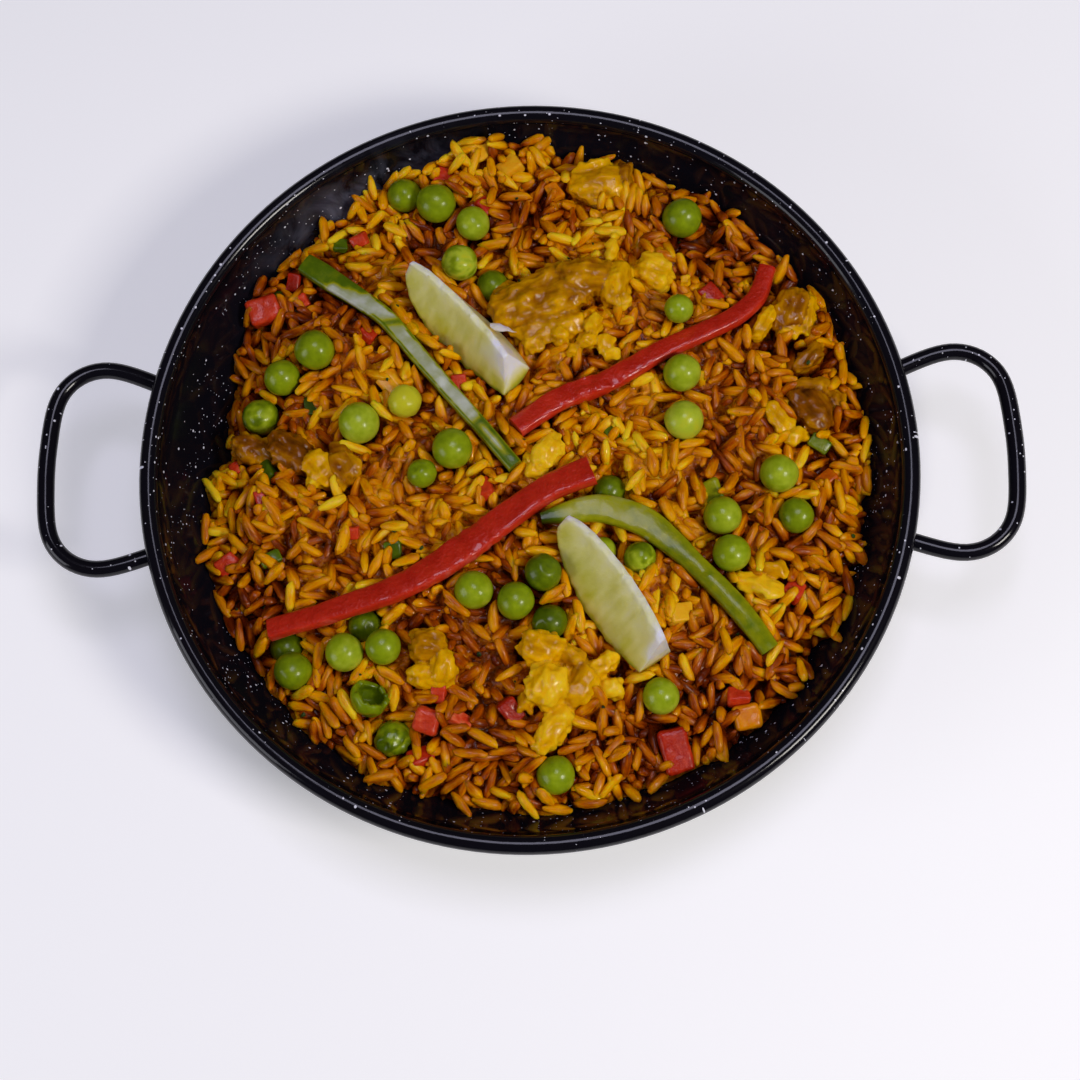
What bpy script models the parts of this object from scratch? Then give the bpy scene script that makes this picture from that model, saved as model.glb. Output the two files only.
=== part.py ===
"""A paella in the small black enamelled pan that it was cooked in.

Run with: blender --background --python part.py

The pan stands on z = 0 with its centre on the Z axis. Its two wire handles lie along X, and +Y is the far
side. Lengths below are in millimetres, and MM turns them into metres where a mesh is made.
"""

import math

import bmesh
import bpy
from mathutils import Matrix, Vector, noise

MM = 0.001
GAP = 0.35  # between a topping and the socket that it lies in
SOCKET_SIDES = 6
SOCKET_SLOPE = math.radians(30.0)  # of a pea's funnel-shaped socket, from the vertical
SOCKET_TOP = 1.5  # how far the funnel reaches above the middle of the pea, in radii

# Pan: one sheet of steel, pressed to a flat base and a straight slanted wall, with a rolled rim.
SEGMENTS = 40  # facets round the pan and round the rice, so that the two keep an even gap
SHEET = 1.0
WALL_SLOPE = math.radians(59.8)
WALL_FOOT_RADIUS = 76.5  # where the outer line of the wall would reach the floor
CORNER_RADIUS = 9.0
BEAD_RADIUS = 2.4
BEAD_CENTRE = (97.6, 35.6)
BEAD_START = math.radians(-125.0)
BEAD_END = math.radians(205.0)

# Handles: round wire, flattened where it is welded to the wall.
WIRE_RADIUS = 2.3
WELD_GAP = 0.3
HANDLE_REACH = 124.85  # centre of the wire at the middle of the grip
HANDLE_BOW = 1.9  # how far the grip bulges outwards
HANDLE_BOW_RADIUS = 90.0
HANDLE_SPLAY = math.radians(13.2)
HANDLE_HALF_SPAN = 33.2  # of the grip, where its line meets the lines of the two arms
HANDLE_TURN = math.radians(0.45)  # how far both handles point towards the far side
HANDLE_NECK_HEIGHT = 30.6
HANDLE_GRIP_HEIGHT = 34.0
HANDLE_CORNER_RADIUS = 13.5
HANDLE_BEND_RADIUS = 5.0
HANDLE_BEND_STEPS = 4
HANDLE_SIDES = 7
FOOT_LENGTH = 14.0
FOOT_FLAT_SHARE = 0.45  # of the foot's length, where the wire is flattened
FOOT_HALF_WIDTH = 3.1
FOOT_HALF_THICKNESS = 1.5

# Rice: a heap that meets the wall at an uneven height and is nearly level inside.
RICE_GAP = 0.3
RICE_TOP = 30.5
RICE_EDGE = 24.6
RICE_EDGE_RIGHT = 1.6  # how much higher the edge is on the right, and lower on the left
RICE_EDGE_FAR = 1.7  # how much higher it is at the far side, and lower at the near side
RICE_EDGE_OVAL = 1.4  # how much higher it is along Y than along X
RICE_EDGE_RIPPLE = 1.4
RICE_RIPPLES = 3.2  # how many ripples fit in a radius
# Places where the edge leaves that line: angle and half width in degrees, then height.
RICE_EDGE_BUMPS = (
    (167.0, 12.0, -9.5),  # on the left the heap has slid away from the wall
    (92.0, 9.0, 4.5),  # at the far side a clump sticks to the wall
    (-66.0, 16.0, -2.5),  # at the near side it is a little hollow
)
RICE_SHOULDER = 5.0  # the larger it is, the steeper the heap falls to its edge
RICE_ROLL = 1.1  # height of the soft ups and downs
RICE_ROLL_LENGTH = 15.0
RICE_RINGS = (0.975, 0.91, 0.80, 0.64, 0.44, 0.22)  # of the heap's radius

# Peas: distance right of the centre, distance beyond it, radius, height of the middle above the rice.
PEAS = (
    (-24.0, 74.0, 5.3, 2.4),
    (-33.0, 78.0, 4.6, 0.6),
    (-14.0, 67.5, 4.6, 2.2),
    (-17.5, 56.0, 4.9, 2.8),
    (-9.0, 50.5, 4.3, -1.2),
    (-56.0, 32.5, 5.3, 2.8),
    (-65.5, 27.0, 4.8, 2.2),
    (-71.5, 17.0, 4.9, 2.6),
    (-44.0, 12.0, 5.4, 2.6),
    (-32.0, 17.5, 4.5, 2.0),
    (-19.5, 4.0, 5.2, 2.6),
    (-27.5, -2.0, 3.8, 1.4),
    (42.0, 68.0, 5.2, 2.4),
    (40.0, 40.4, 3.8, 5.0),
    (40.5, 23.5, 4.9, 3.0),
    (40.5, 10.5, 5.1, 2.6),
    (64.5, -4.0, 5.0, 2.6),
    (68.5, -15.0, 4.6, 1.8),
    (49.5, -15.0, 5.0, 2.4),
    (51.3, -25.2, 4.8, 3.4),
    (20.8, -6.6, 4.2, -3.2),
    (18.6, -22.6, 3.7, -3.0),
    (28.2, -25.2, 4.3, -0.4),
    (3.5, -29.5, 4.8, 3.0),
    (-14.0, -33.5, 4.9, 2.4),
    (-3.5, -36.5, 4.8, 2.4),
    (5.0, -41.5, 4.6, -0.2),
    (32.5, -61.0, 4.7, 2.4),
    (6.0, -80.0, 4.8, 2.2),
    (-60.5, -52.5, 4.9, 2.6),
    (-63.0, -45.5, 4.5, -3.6),
    (-47.0, -48.5, 4.9, 2.4),
    (-37.0, -47.5, 4.6, 2.4),
    (-42.5, -40.8, 4.3, -3.2),
    (-40.5, -60.0, 5.0, 1.6),
    (-35.0, -70.0, 4.8, 1.0),
)
PEA_SQUASH = 0.06  # the most that a pea is narrower one way than the other
PEA_FLATNESS = 0.98

# Pepper strips: places along each strip, with half its width there.
RED_STRIP_LONG = (
    (-66.5, -42.0, 2.7),
    (-50.5, -38.0, 2.9),
    (-32.3, -31.9, 3.4),
    (-18.9, -24.3, 4.0),
    (-6.6, -15.4, 3.8),
    (4.8, -7.8, 3.6),
    (16.4, -3.2, 4.1),
)
RED_STRIP_SHORT = (
    (-3.0, 9.2, 2.8),
    (8.5, 17.2, 3.0),
    (21.8, 22.2, 2.9),
    (35.0, 29.9, 2.6),
    (48.8, 36.2, 2.5),
    (57.4, 41.0, 2.5),
    (61.4, 46.0, 2.4),
    (64.4, 53.4, 2.2),
)
GREEN_STRIP_THIN = (
    (-59.5, 58.4, 2.7),
    (-53.3, 53.7, 3.0),
    (-46.3, 48.4, 2.6),
    (-37.0, 40.8, 2.4),
    (-30.7, 33.0, 2.3),
    (-24.5, 25.2, 2.2),
    (-18.2, 17.5, 2.1),
    (-11.5, 9.4, 2.0),
    (-3.3, -1.0, 1.9),
)
GREEN_STRIP_WIDE = (
    (3.2, -15.2, 1.2),
    (9.5, -13.8, 2.6),
    (18.3, -12.8, 3.5),
    (30.3, -16.8, 3.7),
    (42.3, -27.9, 2.7),
    (52.5, -39.0, 2.8),
    (60.2, -49.4, 2.4),
)
STRIP_SIDES = 6
STRIP_HALF_THICKNESS = 1.9
STRIP_ROUNDING = 1.08  # makes up for the width that a strip's few flat sides take off
STRIP_STEP = 6.5  # between the rings of a strip
SPLINE_PARTS = 8
# Each strip's places, its lift at the start, at the end and throughout, and its lean in degrees.
STRIPS = {
    "red_strip_long": (RED_STRIP_LONG, (1.5, 3.2, 1.7), 6.0),
    "red_strip_short": (RED_STRIP_SHORT, (1.0, 0.8, 1.6), -6.0),
    "green_strip_thin": (GREEN_STRIP_THIN, (1.2, 0.5, 1.5), 9.0),
    "green_strip_wide": (GREEN_STRIP_WIDE, (1.6, 0.5, 1.4), 6.0),
}

# Lime wedges: a seventh of a small lime, lying on its rind with the core edge up.
LIME_RADIUS = 16.0
LIME_HALF_ANGLE = math.radians(24.5)
LIME_WIDEST = 0.58  # of the length, from the tip
LIME_SPREAD = 0.60
LIME_CORE_HALF_WIDTH = 0.7
LIME_STATIONS = 9
LIME_RIND_STEPS = 4
# Each wedge's tip and the end of its middle line, how far the rind runs on past that end, its top, how far
# it rolls over along its length, in degrees, and how far its core edge leans right where it is widest.
LIMES = {
    "lime_wedge_far": ((-30.0, 50.7), (-7.0, 23.6), 4.9, 44.0, 12.0, 3.5),
    "lime_wedge_near": ((8.7, -18.7), (29.9, -51.4), 2.2, 44.0, 2.0, 5.5),
}

# Chicken: centre, half sizes, heading in degrees, height of the centre above the rice, lumpiness.
CHICKEN = {
    "chicken_large": ((8.8, 43.6), (20.0, 13.0, 6.5), 8.0, 1.5, 0.30),
    "chicken_browned": ((-64.0, 5.0), (14.8, 5.4, 5.0), -16.0, 1.2, 0.24),
    "chicken_lobed": ((7.5, -60.5), (10.5, 13.5, 6.0), -12.0, 1.4, 0.30),
    "chicken_round": ((71.5, 43.0), (6.0, 8.0, 5.0), 20.0, 1.0, 0.16),
    "chicken_far": ((20.0, 81.5), (9.5, 5.6, 4.0), -5.0, 1.6, 0.20),
    "chicken_middle": ((2.5, 2.5), (4.6, 6.4, 4.0), 15.0, 0.4, 0.24),
    "chicken_clear": ((-48.5, 1.5), (5.4, 5.6, 4.0), 30.0, 0.6, 0.18),
    "chicken_small": ((-26.0, -49.5), (6.2, 8.2, 4.4), 25.0, 0.8, 0.26),
    "chicken_flaked": ((59.5, -31.5), (7.8, 5.0, 4.0), -20.0, 0.6, 0.24),
    "chicken_right": ((73.0, 14.0), (11.5, 8.5, 5.2), -15.0, 0.6, 0.24),
}
LUMP_SQUARENESS = 0.85  # 1 gives an ellipsoid, less a blunter lump
LUMP_DETAIL = 1.9  # the larger it is, the smaller the lumps are
LUMP_SEED_STEP = 11.3  # sets one lump's shape apart from the next
LONG_LUMP = 12.0  # from this half size on a lump has more faces

# Diced pepper and carrot as large as a pea: centre, sizes, heading in degrees, height above the rice.
DICE = {
    "red_pepper_piece_near": ((36.0, -74.0), (7.5, 11.5, 6.0), 14.0, 0.8),
    "red_pepper_piece_left": ((-70.6, 46.0), (9.0, 7.5, 5.5), 20.0, 1.5),
    "red_pepper_cube": ((-26.0, -66.0), (6.6, 6.6, 5.5), -18.0, 1.0),
    "carrot_cube": ((54.0, -66.0), (7.0, 6.4, 5.5), 12.0, 0.9),
}
DICE_BEVEL = 0.8
DICE_TIP = math.radians(9.0)


def clear_scene():
    """Removes every object that the scene starts with."""
    for obj in list(bpy.data.objects):
        bpy.data.objects.remove(obj, do_unlink=True)


def make_material(name, colour, roughness, metallic=0.0):
    """A Principled material of one plain colour."""
    material = bpy.data.materials.new(name)
    material.use_nodes = True
    shader = material.node_tree.nodes["Principled BSDF"]
    shader.inputs["Base Color"].default_value = (*colour, 1.0)
    shader.inputs["Roughness"].default_value = roughness
    shader.inputs["Metallic"].default_value = metallic
    material.diffuse_color = (*colour, 1.0)
    return material


def add_object(name, mesh_data, material):
    """Turns a bmesh in millimetres into a named object with outward faces."""
    bmesh.ops.recalc_face_normals(mesh_data, faces=mesh_data.faces)
    bmesh.ops.scale(mesh_data, vec=(MM, MM, MM), verts=mesh_data.verts)
    mesh = bpy.data.meshes.new(name)
    mesh_data.to_mesh(mesh)
    mesh_data.free()
    if material:
        mesh.materials.append(material)
    obj = bpy.data.objects.new(name, mesh)
    bpy.context.scene.collection.objects.link(obj)
    return obj


def arc(centre, radius, start, end, steps):
    """Points of a circle's arc in a plane, both ends included."""
    points = []
    for step in range(steps + 1):
        angle = start + (end - start) * step / steps
        points.append((centre[0] + radius * math.cos(angle), centre[1] + radius * math.sin(angle)))
    return points


def corner_arc(offset):
    """The pan's bottom corner, moved inwards by offset: from the flat base up to the wall."""
    flat_radius = WALL_FOOT_RADIUS - CORNER_RADIUS * math.tan(WALL_SLOPE / 2)
    start = math.radians(-90.0)
    return arc((flat_radius, CORNER_RADIUS), CORNER_RADIUS - offset, start, start + WALL_SLOPE, 3)


def wall_radius(height, offset):
    """Radius of the wall at a height, moved inwards by offset from its outer face."""
    return WALL_FOOT_RADIUS + height / math.tan(WALL_SLOPE) - offset / math.sin(WALL_SLOPE)


def polar(radius, angle, height):
    """A point from its radius, angle and height."""
    return (radius * math.cos(angle), radius * math.sin(angle), height)


def bridge(mesh_data, lower, upper):
    """Quads between two rings of points that are closed loops."""
    count = len(lower)
    for index in range(count):
        after = (index + 1) % count
        mesh_data.faces.new((lower[index], lower[after], upper[after], upper[index]))


def fan(mesh_data, ring, centre):
    """Triangles from a ring to one point."""
    count = len(ring)
    for index in range(count):
        mesh_data.faces.new((ring[index], ring[(index + 1) % count], centre))


def build_pan(material):
    """The pan's profile, from the axis under the base, over the rim and back to the axis inside, spun."""
    profile = [(0.0, 0.0)]
    profile += corner_arc(0.0)
    profile += arc(BEAD_CENTRE, BEAD_RADIUS, BEAD_START, BEAD_END, 7)
    profile += reversed(corner_arc(SHEET))
    profile.append((0.0, SHEET))
    pan = bmesh.new()
    points = [pan.verts.new((radius, 0.0, height)) for radius, height in profile]
    edges = [pan.edges.new(pair) for pair in zip(points, points[1:])]
    bmesh.ops.spin(
        pan,
        geom=points + edges,
        cent=(0.0, 0.0, 0.0),
        axis=(0.0, 0.0, 1.0),
        angle=math.tau,
        steps=SEGMENTS,
    )
    bmesh.ops.remove_doubles(pan, verts=pan.verts, dist=0.001)
    return add_object("pan", pan, material)


def rounded_path(corners, radii, steps):
    """A polyline whose inner corners are replaced by arcs of the given radii."""
    path = [corners[0]]
    for before, corner, after, radius in zip(corners, corners[1:], corners[2:], radii):
        back = (before - corner).normalized()
        ahead = (after - corner).normalized()
        half = back.angle(ahead) / 2
        centre = corner + (back + ahead).normalized() * radius / math.sin(half)
        first = corner + back * radius / math.tan(half) - centre
        last = corner + ahead * radius / math.tan(half) - centre
        turn = first.angle(last)
        for step in range(steps + 1):
            share = step / steps
            weight_first = math.sin((1 - share) * turn) / math.sin(turn)
            weight_last = math.sin(share * turn) / math.sin(turn)
            path.append(centre + first * weight_first + last * weight_last)
    path.append(corners[-1])
    return path


def sweep(stations, sides):
    """A closed solid along stations of (centre, across, up), each axis as long as the half size."""
    solid = bmesh.new()
    rings = []
    for centre, across, up in stations:
        ring = []
        for side in range(sides):
            angle = math.tau * (side + 0.5) / sides
            ring.append(solid.verts.new(centre + across * math.cos(angle) + up * math.sin(angle)))
        rings.append(ring)
    for lower, upper in zip(rings, rings[1:]):
        bridge(solid, lower, upper)
    solid.faces.new(rings[0])
    solid.faces.new(rings[-1])
    return solid


def tangents(path):
    """The direction of the path at each of its points."""
    count = len(path)
    return [(path[min(i + 1, count - 1)] - path[max(i - 1, 0)]).normalized() for i in range(count)]


def build_handle(name, turn, material):
    """A bent wire whose two flattened feet run down the outside of the wall."""
    stand_off = WIRE_RADIUS + WELD_GAP
    slope = Vector((math.cos(WALL_SLOPE), 0.0, math.sin(WALL_SLOPE)))
    neck_radius = wall_radius(HANDLE_NECK_HEIGHT, -stand_off)
    neck = Vector((neck_radius, 0.0, HANDLE_NECK_HEIGHT))
    splay = Matrix.Rotation(HANDLE_SPLAY, 3, "Z")
    foot = splay @ (neck - slope * FOOT_LENGTH)
    neck = splay @ neck
    shoulder_reach = HANDLE_REACH - HANDLE_BOW
    shoulder = Vector((shoulder_reach, HANDLE_HALF_SPAN, HANDLE_GRIP_HEIGHT))
    grip = Vector((HANDLE_REACH, 0.0, HANDLE_GRIP_HEIGHT))
    mirror = Matrix.Scale(-1.0, 3, (0.0, 1.0, 0.0))
    corners = [foot, neck, shoulder, grip, mirror @ shoulder, mirror @ neck, mirror @ foot]
    radii = [HANDLE_BEND_RADIUS, HANDLE_CORNER_RADIUS, HANDLE_BOW_RADIUS]
    radii += [HANDLE_CORNER_RADIUS, HANDLE_BEND_RADIUS]
    path = rounded_path(corners, radii, HANDLE_BEND_STEPS)
    flat_end = slope * FOOT_LENGTH * FOOT_FLAT_SHARE
    path.insert(1, foot + splay @ flat_end)
    path.insert(-1, mirror @ (foot + splay @ flat_end))
    stations = []
    for place, (centre, along) in enumerate(zip(path, tangents(path))):
        across = along.cross(Vector((0.0, 0.0, 1.0))).normalized()
        up = across.cross(along)
        half_width, half_thickness = WIRE_RADIUS, WIRE_RADIUS
        if place < 2 or place > len(path) - 3:
            half_width, half_thickness = FOOT_HALF_WIDTH, FOOT_HALF_THICKNESS
            centre = centre + up * (WIRE_RADIUS - FOOT_HALF_THICKNESS)
        stations.append((centre, across * half_width, up * half_thickness))
    handle = sweep(stations, HANDLE_SIDES)
    bmesh.ops.rotate(handle, verts=handle.verts, matrix=Matrix.Rotation(turn, 3, "Z"))
    return add_object(name, handle, material)


def rice_edge(angle):
    """Height at which the rice meets the wall."""
    right, far = math.cos(angle), math.sin(angle)
    height = RICE_EDGE + RICE_EDGE_RIGHT * right + RICE_EDGE_FAR * far
    height -= RICE_EDGE_OVAL * math.cos(2 * angle)
    height += RICE_EDGE_RIPPLE * noise.noise(Vector((right, far, 1.0)) * RICE_RIPPLES)
    for middle, half_width, rise in RICE_EDGE_BUMPS:
        away = math.remainder(math.degrees(angle) - middle, 360.0)
        height += rise * math.exp(-((away / half_width) ** 4))
    return height


def rice_level(x, y):
    """Height of the rice at a place, without the sockets of the toppings."""
    angle = math.atan2(y, x)
    edge = rice_edge(angle)
    share = min(math.hypot(x, y) / wall_radius(edge, SHEET + RICE_GAP), 1.0)
    roll = RICE_ROLL * noise.noise(Vector((x / RICE_ROLL_LENGTH, y / RICE_ROLL_LENGTH, 7.0)))
    return edge + (RICE_TOP + roll - edge) * (1.0 - share**RICE_SHOULDER)


def build_rice(material):
    """The heap of rice: the inside of the pan, less a gap, filled up to its uneven top."""
    rice = bmesh.new()
    angles = [math.tau * index / SEGMENTS for index in range(SEGMENTS)]
    inside = SHEET + RICE_GAP
    rings = []
    for radius, height in corner_arc(inside):
        rings.append([rice.verts.new(polar(radius, angle, height)) for angle in angles])
    rim = []
    for angle in angles:
        height = rice_edge(angle)
        rim.append(rice.verts.new(polar(wall_radius(height, inside), angle, height)))
    rings.append(rim)
    for share in RICE_RINGS:
        ring = []
        for angle in angles:
            radius = share * wall_radius(rice_edge(angle), inside)
            level = rice_level(radius * math.cos(angle), radius * math.sin(angle))
            ring.append(rice.verts.new(polar(radius, angle, level)))
        rings.append(ring)
    for lower, upper in zip(rings, rings[1:]):
        bridge(rice, lower, upper)
    fan(rice, rings[0], rice.verts.new((0.0, 0.0, inside)))
    fan(rice, rings[-1], rice.verts.new((0.0, 0.0, rice_level(0.0, 0.0))))
    return add_object("rice", rice, material)


def build_pea(name, index, pea, material):
    """A pea, a little out of round."""
    x, y, radius, lift = pea
    ball = bmesh.new()
    bmesh.ops.create_uvsphere(ball, u_segments=8, v_segments=4, radius=radius)
    squash = 1.0 - PEA_SQUASH * (0.5 + 0.5 * math.sin(5.0 * index))
    bmesh.ops.scale(ball, vec=(1.0, squash, PEA_FLATNESS), verts=ball.verts)
    bmesh.ops.rotate(ball, verts=ball.verts, matrix=Matrix.Rotation(1.7 * index, 3, "Z"))
    bmesh.ops.translate(ball, vec=(x, y, rice_level(x, y) + lift), verts=ball.verts)
    return add_object(name, ball, material)


def even_path(places, step):
    """Places (x, y, half width) joined by a smooth curve and divided into nearly even steps."""
    knots = [Vector(place) for place in places]
    knots = [2 * knots[0] - knots[1], *knots, 2 * knots[-1] - knots[-2]]
    dense = []
    for before, start, end, after in zip(knots, knots[1:], knots[2:], knots[3:]):
        for part in range(SPLINE_PARTS):
            t = part / SPLINE_PARTS
            pull = (end - before) * t + (2 * before - 5 * start + 4 * end - after) * t**2
            pull += (3 * start - before - 3 * end + after) * t**3
            dense.append(start + pull / 2)
    dense.append(knots[-2])
    path = [dense[0]]
    for point in dense[1:-1]:
        if (point.xy - path[-1].xy).length >= step and (point.xy - dense[-1].xy).length > step / 2:
            path.append(point)
    path.append(dense[-1])
    return path


def build_strip(name, places, lifts, lean, material):
    """A strip of pepper that lies on the rice, with a lift at its two ends and a lean to one side."""
    path = even_path(places, STRIP_STEP)
    last = len(path) - 1
    centres = []
    for index, point in enumerate(path):
        share = index / last
        lift = lifts[0] * (1 - share) ** 3 + lifts[1] * share**3 + lifts[2]
        centres.append(Vector((point.x, point.y, rice_level(point.x, point.y) + lift)))
    for _ in range(2):
        inner = [(a + b * 2 + c) / 4 for a, b, c in zip(centres, centres[1:], centres[2:])]
        heights = [centres[0].z, *(point.z for point in inner), centres[-1].z]
        centres = [Vector((c.x, c.y, z)) for c, z in zip(centres, heights)]
    stations = []
    for point, centre, along in zip(path, centres, tangents(centres)):
        across = along.cross(Vector((0.0, 0.0, 1.0))).normalized()
        turn = Matrix.Rotation(math.radians(lean), 3, along)
        across = turn @ across
        up = across.cross(along)
        stations.append((centre, across * point.z * STRIP_ROUNDING, up * STRIP_HALF_THICKNESS))
    return add_object(name, sweep(stations, STRIP_SIDES), material)


def build_lime(name, tip, core_end, slant, top, roll, lean, material):
    """A wedge of lime on its rind: a core edge on top that leans right, a curved rind and a cut end."""
    tip = Vector((*tip, top))
    along = Vector((*core_end, top)) - tip
    length = along.length
    along.normalize()
    across = along.cross(Vector((0.0, 0.0, 1.0)))
    wedge = bmesh.new()
    rings = []
    for station in range(LIME_STATIONS):
        share = station / (LIME_STATIONS - 1)
        bulge = math.sqrt(1.0 - ((share - LIME_WIDEST) / LIME_SPREAD) ** 2)
        radius = LIME_RADIUS * bulge
        ring = []
        for side in (-1.0, 1.0):
            core = across * (side * LIME_CORE_HALF_WIDTH - lean * bulge)
            ring.append(wedge.verts.new(tip + along * share * length + core))
        for step in range(LIME_RIND_STEPS + 1):
            angle = LIME_HALF_ANGLE * (1.0 - 2.0 * step / LIME_RIND_STEPS) - math.radians(roll) * share
            place = across * math.sin(angle) * radius
            place.z -= math.cos(angle) * radius
            place += along * slant * share**3 * math.cos(angle)
            ring.append(wedge.verts.new(tip + along * share * length + place))
        rings.append(ring)
    for lower, upper in zip(rings, rings[1:]):
        bridge(wedge, lower, upper)
    wedge.faces.new(rings[0])
    wedge.faces.new(rings[-1])
    bmesh.ops.triangulate(wedge, faces=wedge.faces)
    return add_object(name, wedge, material)


def build_chicken(name, index, piece, material):
    """A torn lump of chicken."""
    (x, y), half_sizes, heading, lift, lumpiness = piece
    lump = bmesh.new()
    sides, rings = (11, 7) if max(half_sizes) > LONG_LUMP else (8, 6)
    bmesh.ops.create_uvsphere(lump, u_segments=sides, v_segments=rings, radius=1.0)
    seed = Vector((LUMP_SEED_STEP * index, 0.0, 0.0))
    for vert in lump.verts:
        swell = 1.0 + lumpiness * noise.noise(vert.co * LUMP_DETAIL + seed)
        vert.co = Vector(math.copysign(abs(v) ** LUMP_SQUARENESS, v) for v in vert.co) * swell
    bmesh.ops.scale(lump, vec=half_sizes, verts=lump.verts)
    bmesh.ops.triangulate(lump, faces=lump.faces)
    bmesh.ops.rotate(lump, verts=lump.verts, matrix=Matrix.Rotation(math.radians(heading), 3, "Z"))
    bmesh.ops.translate(lump, vec=(x, y, rice_level(x, y) + lift), verts=lump.verts)
    return add_object(name, lump, material)


def build_dice(name, piece, material):
    """A cut piece of vegetable: a box with soft edges, tipped a little."""
    (x, y), sizes, heading, lift = piece
    dice = bmesh.new()
    bmesh.ops.create_cube(dice, size=1.0)
    bmesh.ops.scale(dice, vec=sizes, verts=dice.verts)
    bmesh.ops.bevel(dice, geom=dice.edges, offset=DICE_BEVEL, segments=1, affect="EDGES")
    tip = Matrix.Rotation(DICE_TIP, 3, "X")
    turn = Matrix.Rotation(math.radians(heading), 3, "Z")
    bmesh.ops.rotate(dice, verts=dice.verts, matrix=turn @ tip)
    bmesh.ops.translate(dice, vec=(x, y, rice_level(x, y) + lift), verts=dice.verts)
    return add_object(name, dice, material)


def make_cutter(topping):
    """A hidden copy of a topping, larger by the gap all round."""
    cutter = bpy.data.objects.new("cutter_" + topping.name, topping.data.copy())
    cutter.hide_render = True
    cutter.display_type = "WIRE"
    swell = cutter.modifiers.new("swell", "DISPLACE")
    swell.mid_level = 0.0
    swell.strength = GAP * MM
    bpy.context.scene.collection.objects.link(cutter)
    return cutter


def make_funnel(name, pea):
    """A hidden funnel that just holds a pea, open upwards."""
    x, y, radius, lift = pea
    held = radius + GAP
    middle_apothem = held / math.cos(SOCKET_SLOPE)
    radii = []
    for rise in (-held, SOCKET_TOP * held):
        apothem = middle_apothem + rise * math.tan(SOCKET_SLOPE)
        radii.append(apothem / math.cos(math.pi / SOCKET_SIDES))
    funnel = bmesh.new()
    bmesh.ops.create_cone(
        funnel,
        cap_ends=True,
        segments=SOCKET_SIDES,
        radius1=radii[0],
        radius2=radii[1],
        depth=(SOCKET_TOP + 1.0) * held,
    )
    bmesh.ops.rotate(funnel, verts=funnel.verts, matrix=Matrix.Rotation(x, 3, "Z"))
    middle = rice_level(x, y) + lift + (SOCKET_TOP - 1.0) / 2 * held
    bmesh.ops.translate(funnel, vec=(x, y, middle), verts=funnel.verts)
    cutter = add_object("funnel_" + name, funnel, None)
    cutter.hide_render = True
    cutter.display_type = "WIRE"
    return cutter


def cut(target, cutter):
    """Takes the cutter's shape out of the target."""
    boolean = target.modifiers.new("cut_" + cutter.name, "BOOLEAN")
    boolean.operation = "DIFFERENCE"
    boolean.solver = "EXACT"
    boolean.object = cutter


def boxes_meet(first, second):
    """Whether the bounding boxes of two objects meet."""
    for axis in range(3):
        first_range = [point.co[axis] for point in first.data.vertices]
        second_range = [point.co[axis] for point in second.data.vertices]
        if min(first_range) > max(second_range) or min(second_range) > max(first_range):
            return False
    return True


def main():
    """Builds the pan, the rice and every topping, then cuts each topping's socket."""
    clear_scene()
    enamel = make_material("black_enamel", (0.004, 0.004, 0.008), 0.15)
    rice_material = make_material("saffron_rice", (0.60, 0.25, 0.015), 0.40)
    pea_material = make_material("green_pea", (0.14, 0.30, 0.012), 0.30)
    red_material = make_material("red_pepper", (0.45, 0.02, 0.01), 0.30)
    green_material = make_material("green_pepper", (0.13, 0.22, 0.01), 0.35)
    lime_material = make_material("lime_flesh", (0.45, 0.48, 0.12), 0.35)
    chicken_material = make_material("cooked_chicken", (0.55, 0.27, 0.03), 0.50)
    carrot_material = make_material("cooked_carrot", (0.60, 0.16, 0.02), 0.40)

    build_pan(enamel)
    build_handle("handle_right", HANDLE_TURN, enamel)
    build_handle("handle_left", math.pi - HANDLE_TURN, enamel)
    rice = build_rice(rice_material)

    firm = []
    for name, (places, lifts, lean) in STRIPS.items():
        material = red_material if name.startswith("red") else green_material
        firm.append(build_strip(name, places, lifts, lean, material))
    for name, (tip, core_end, slant, top, roll, lean) in LIMES.items():
        firm.append(build_lime(name, tip, core_end, slant, top, roll, lean, lime_material))

    soft = []
    for name, piece in DICE.items():
        material = carrot_material if name.startswith("carrot") else red_material
        soft.append(build_dice(name, piece, material))
    for index, (name, piece) in enumerate(CHICKEN.items()):
        soft.append(build_chicken(name, index, piece, chicken_material))

    peas = []
    funnels = []
    for index, pea in enumerate(PEAS):
        name = f"pea_{index + 1:02d}"
        peas.append(build_pea(name, index, pea, pea_material))
        funnels.append(make_funnel(name, pea))

    cutters = [make_cutter(topping) for topping in firm]
    pea_cutters = [make_cutter(pea) for pea in peas]
    for topping in soft:
        for cutter in cutters + pea_cutters:
            if boxes_meet(topping, cutter):
                cut(topping, cutter)
        cutters.append(make_cutter(topping))
    for cutter in cutters + funnels:
        cut(rice, cutter)


main()
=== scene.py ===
"""The looks of a paella in its black enamelled pan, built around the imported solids.

The solids give every place and size. The pan stands on z = 0 with its centre on the Z axis, its two handles
lie along X, and +Y is the far side. Lengths in this file are in millimetres, and MM turns them into metres
where a mesh is made.
"""

import itertools
import logging
import math
from collections.abc import Iterator, Sequence
from contextlib import contextmanager
from dataclasses import dataclass, field
from enum import Enum, IntEnum

import bpy
import numpy as np
from bpy.types import Material, Node, NodeSocket, NodeTree, Object
from mathutils import Euler, Matrix, Vector
from mathutils.bvhtree import BVHTree


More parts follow.
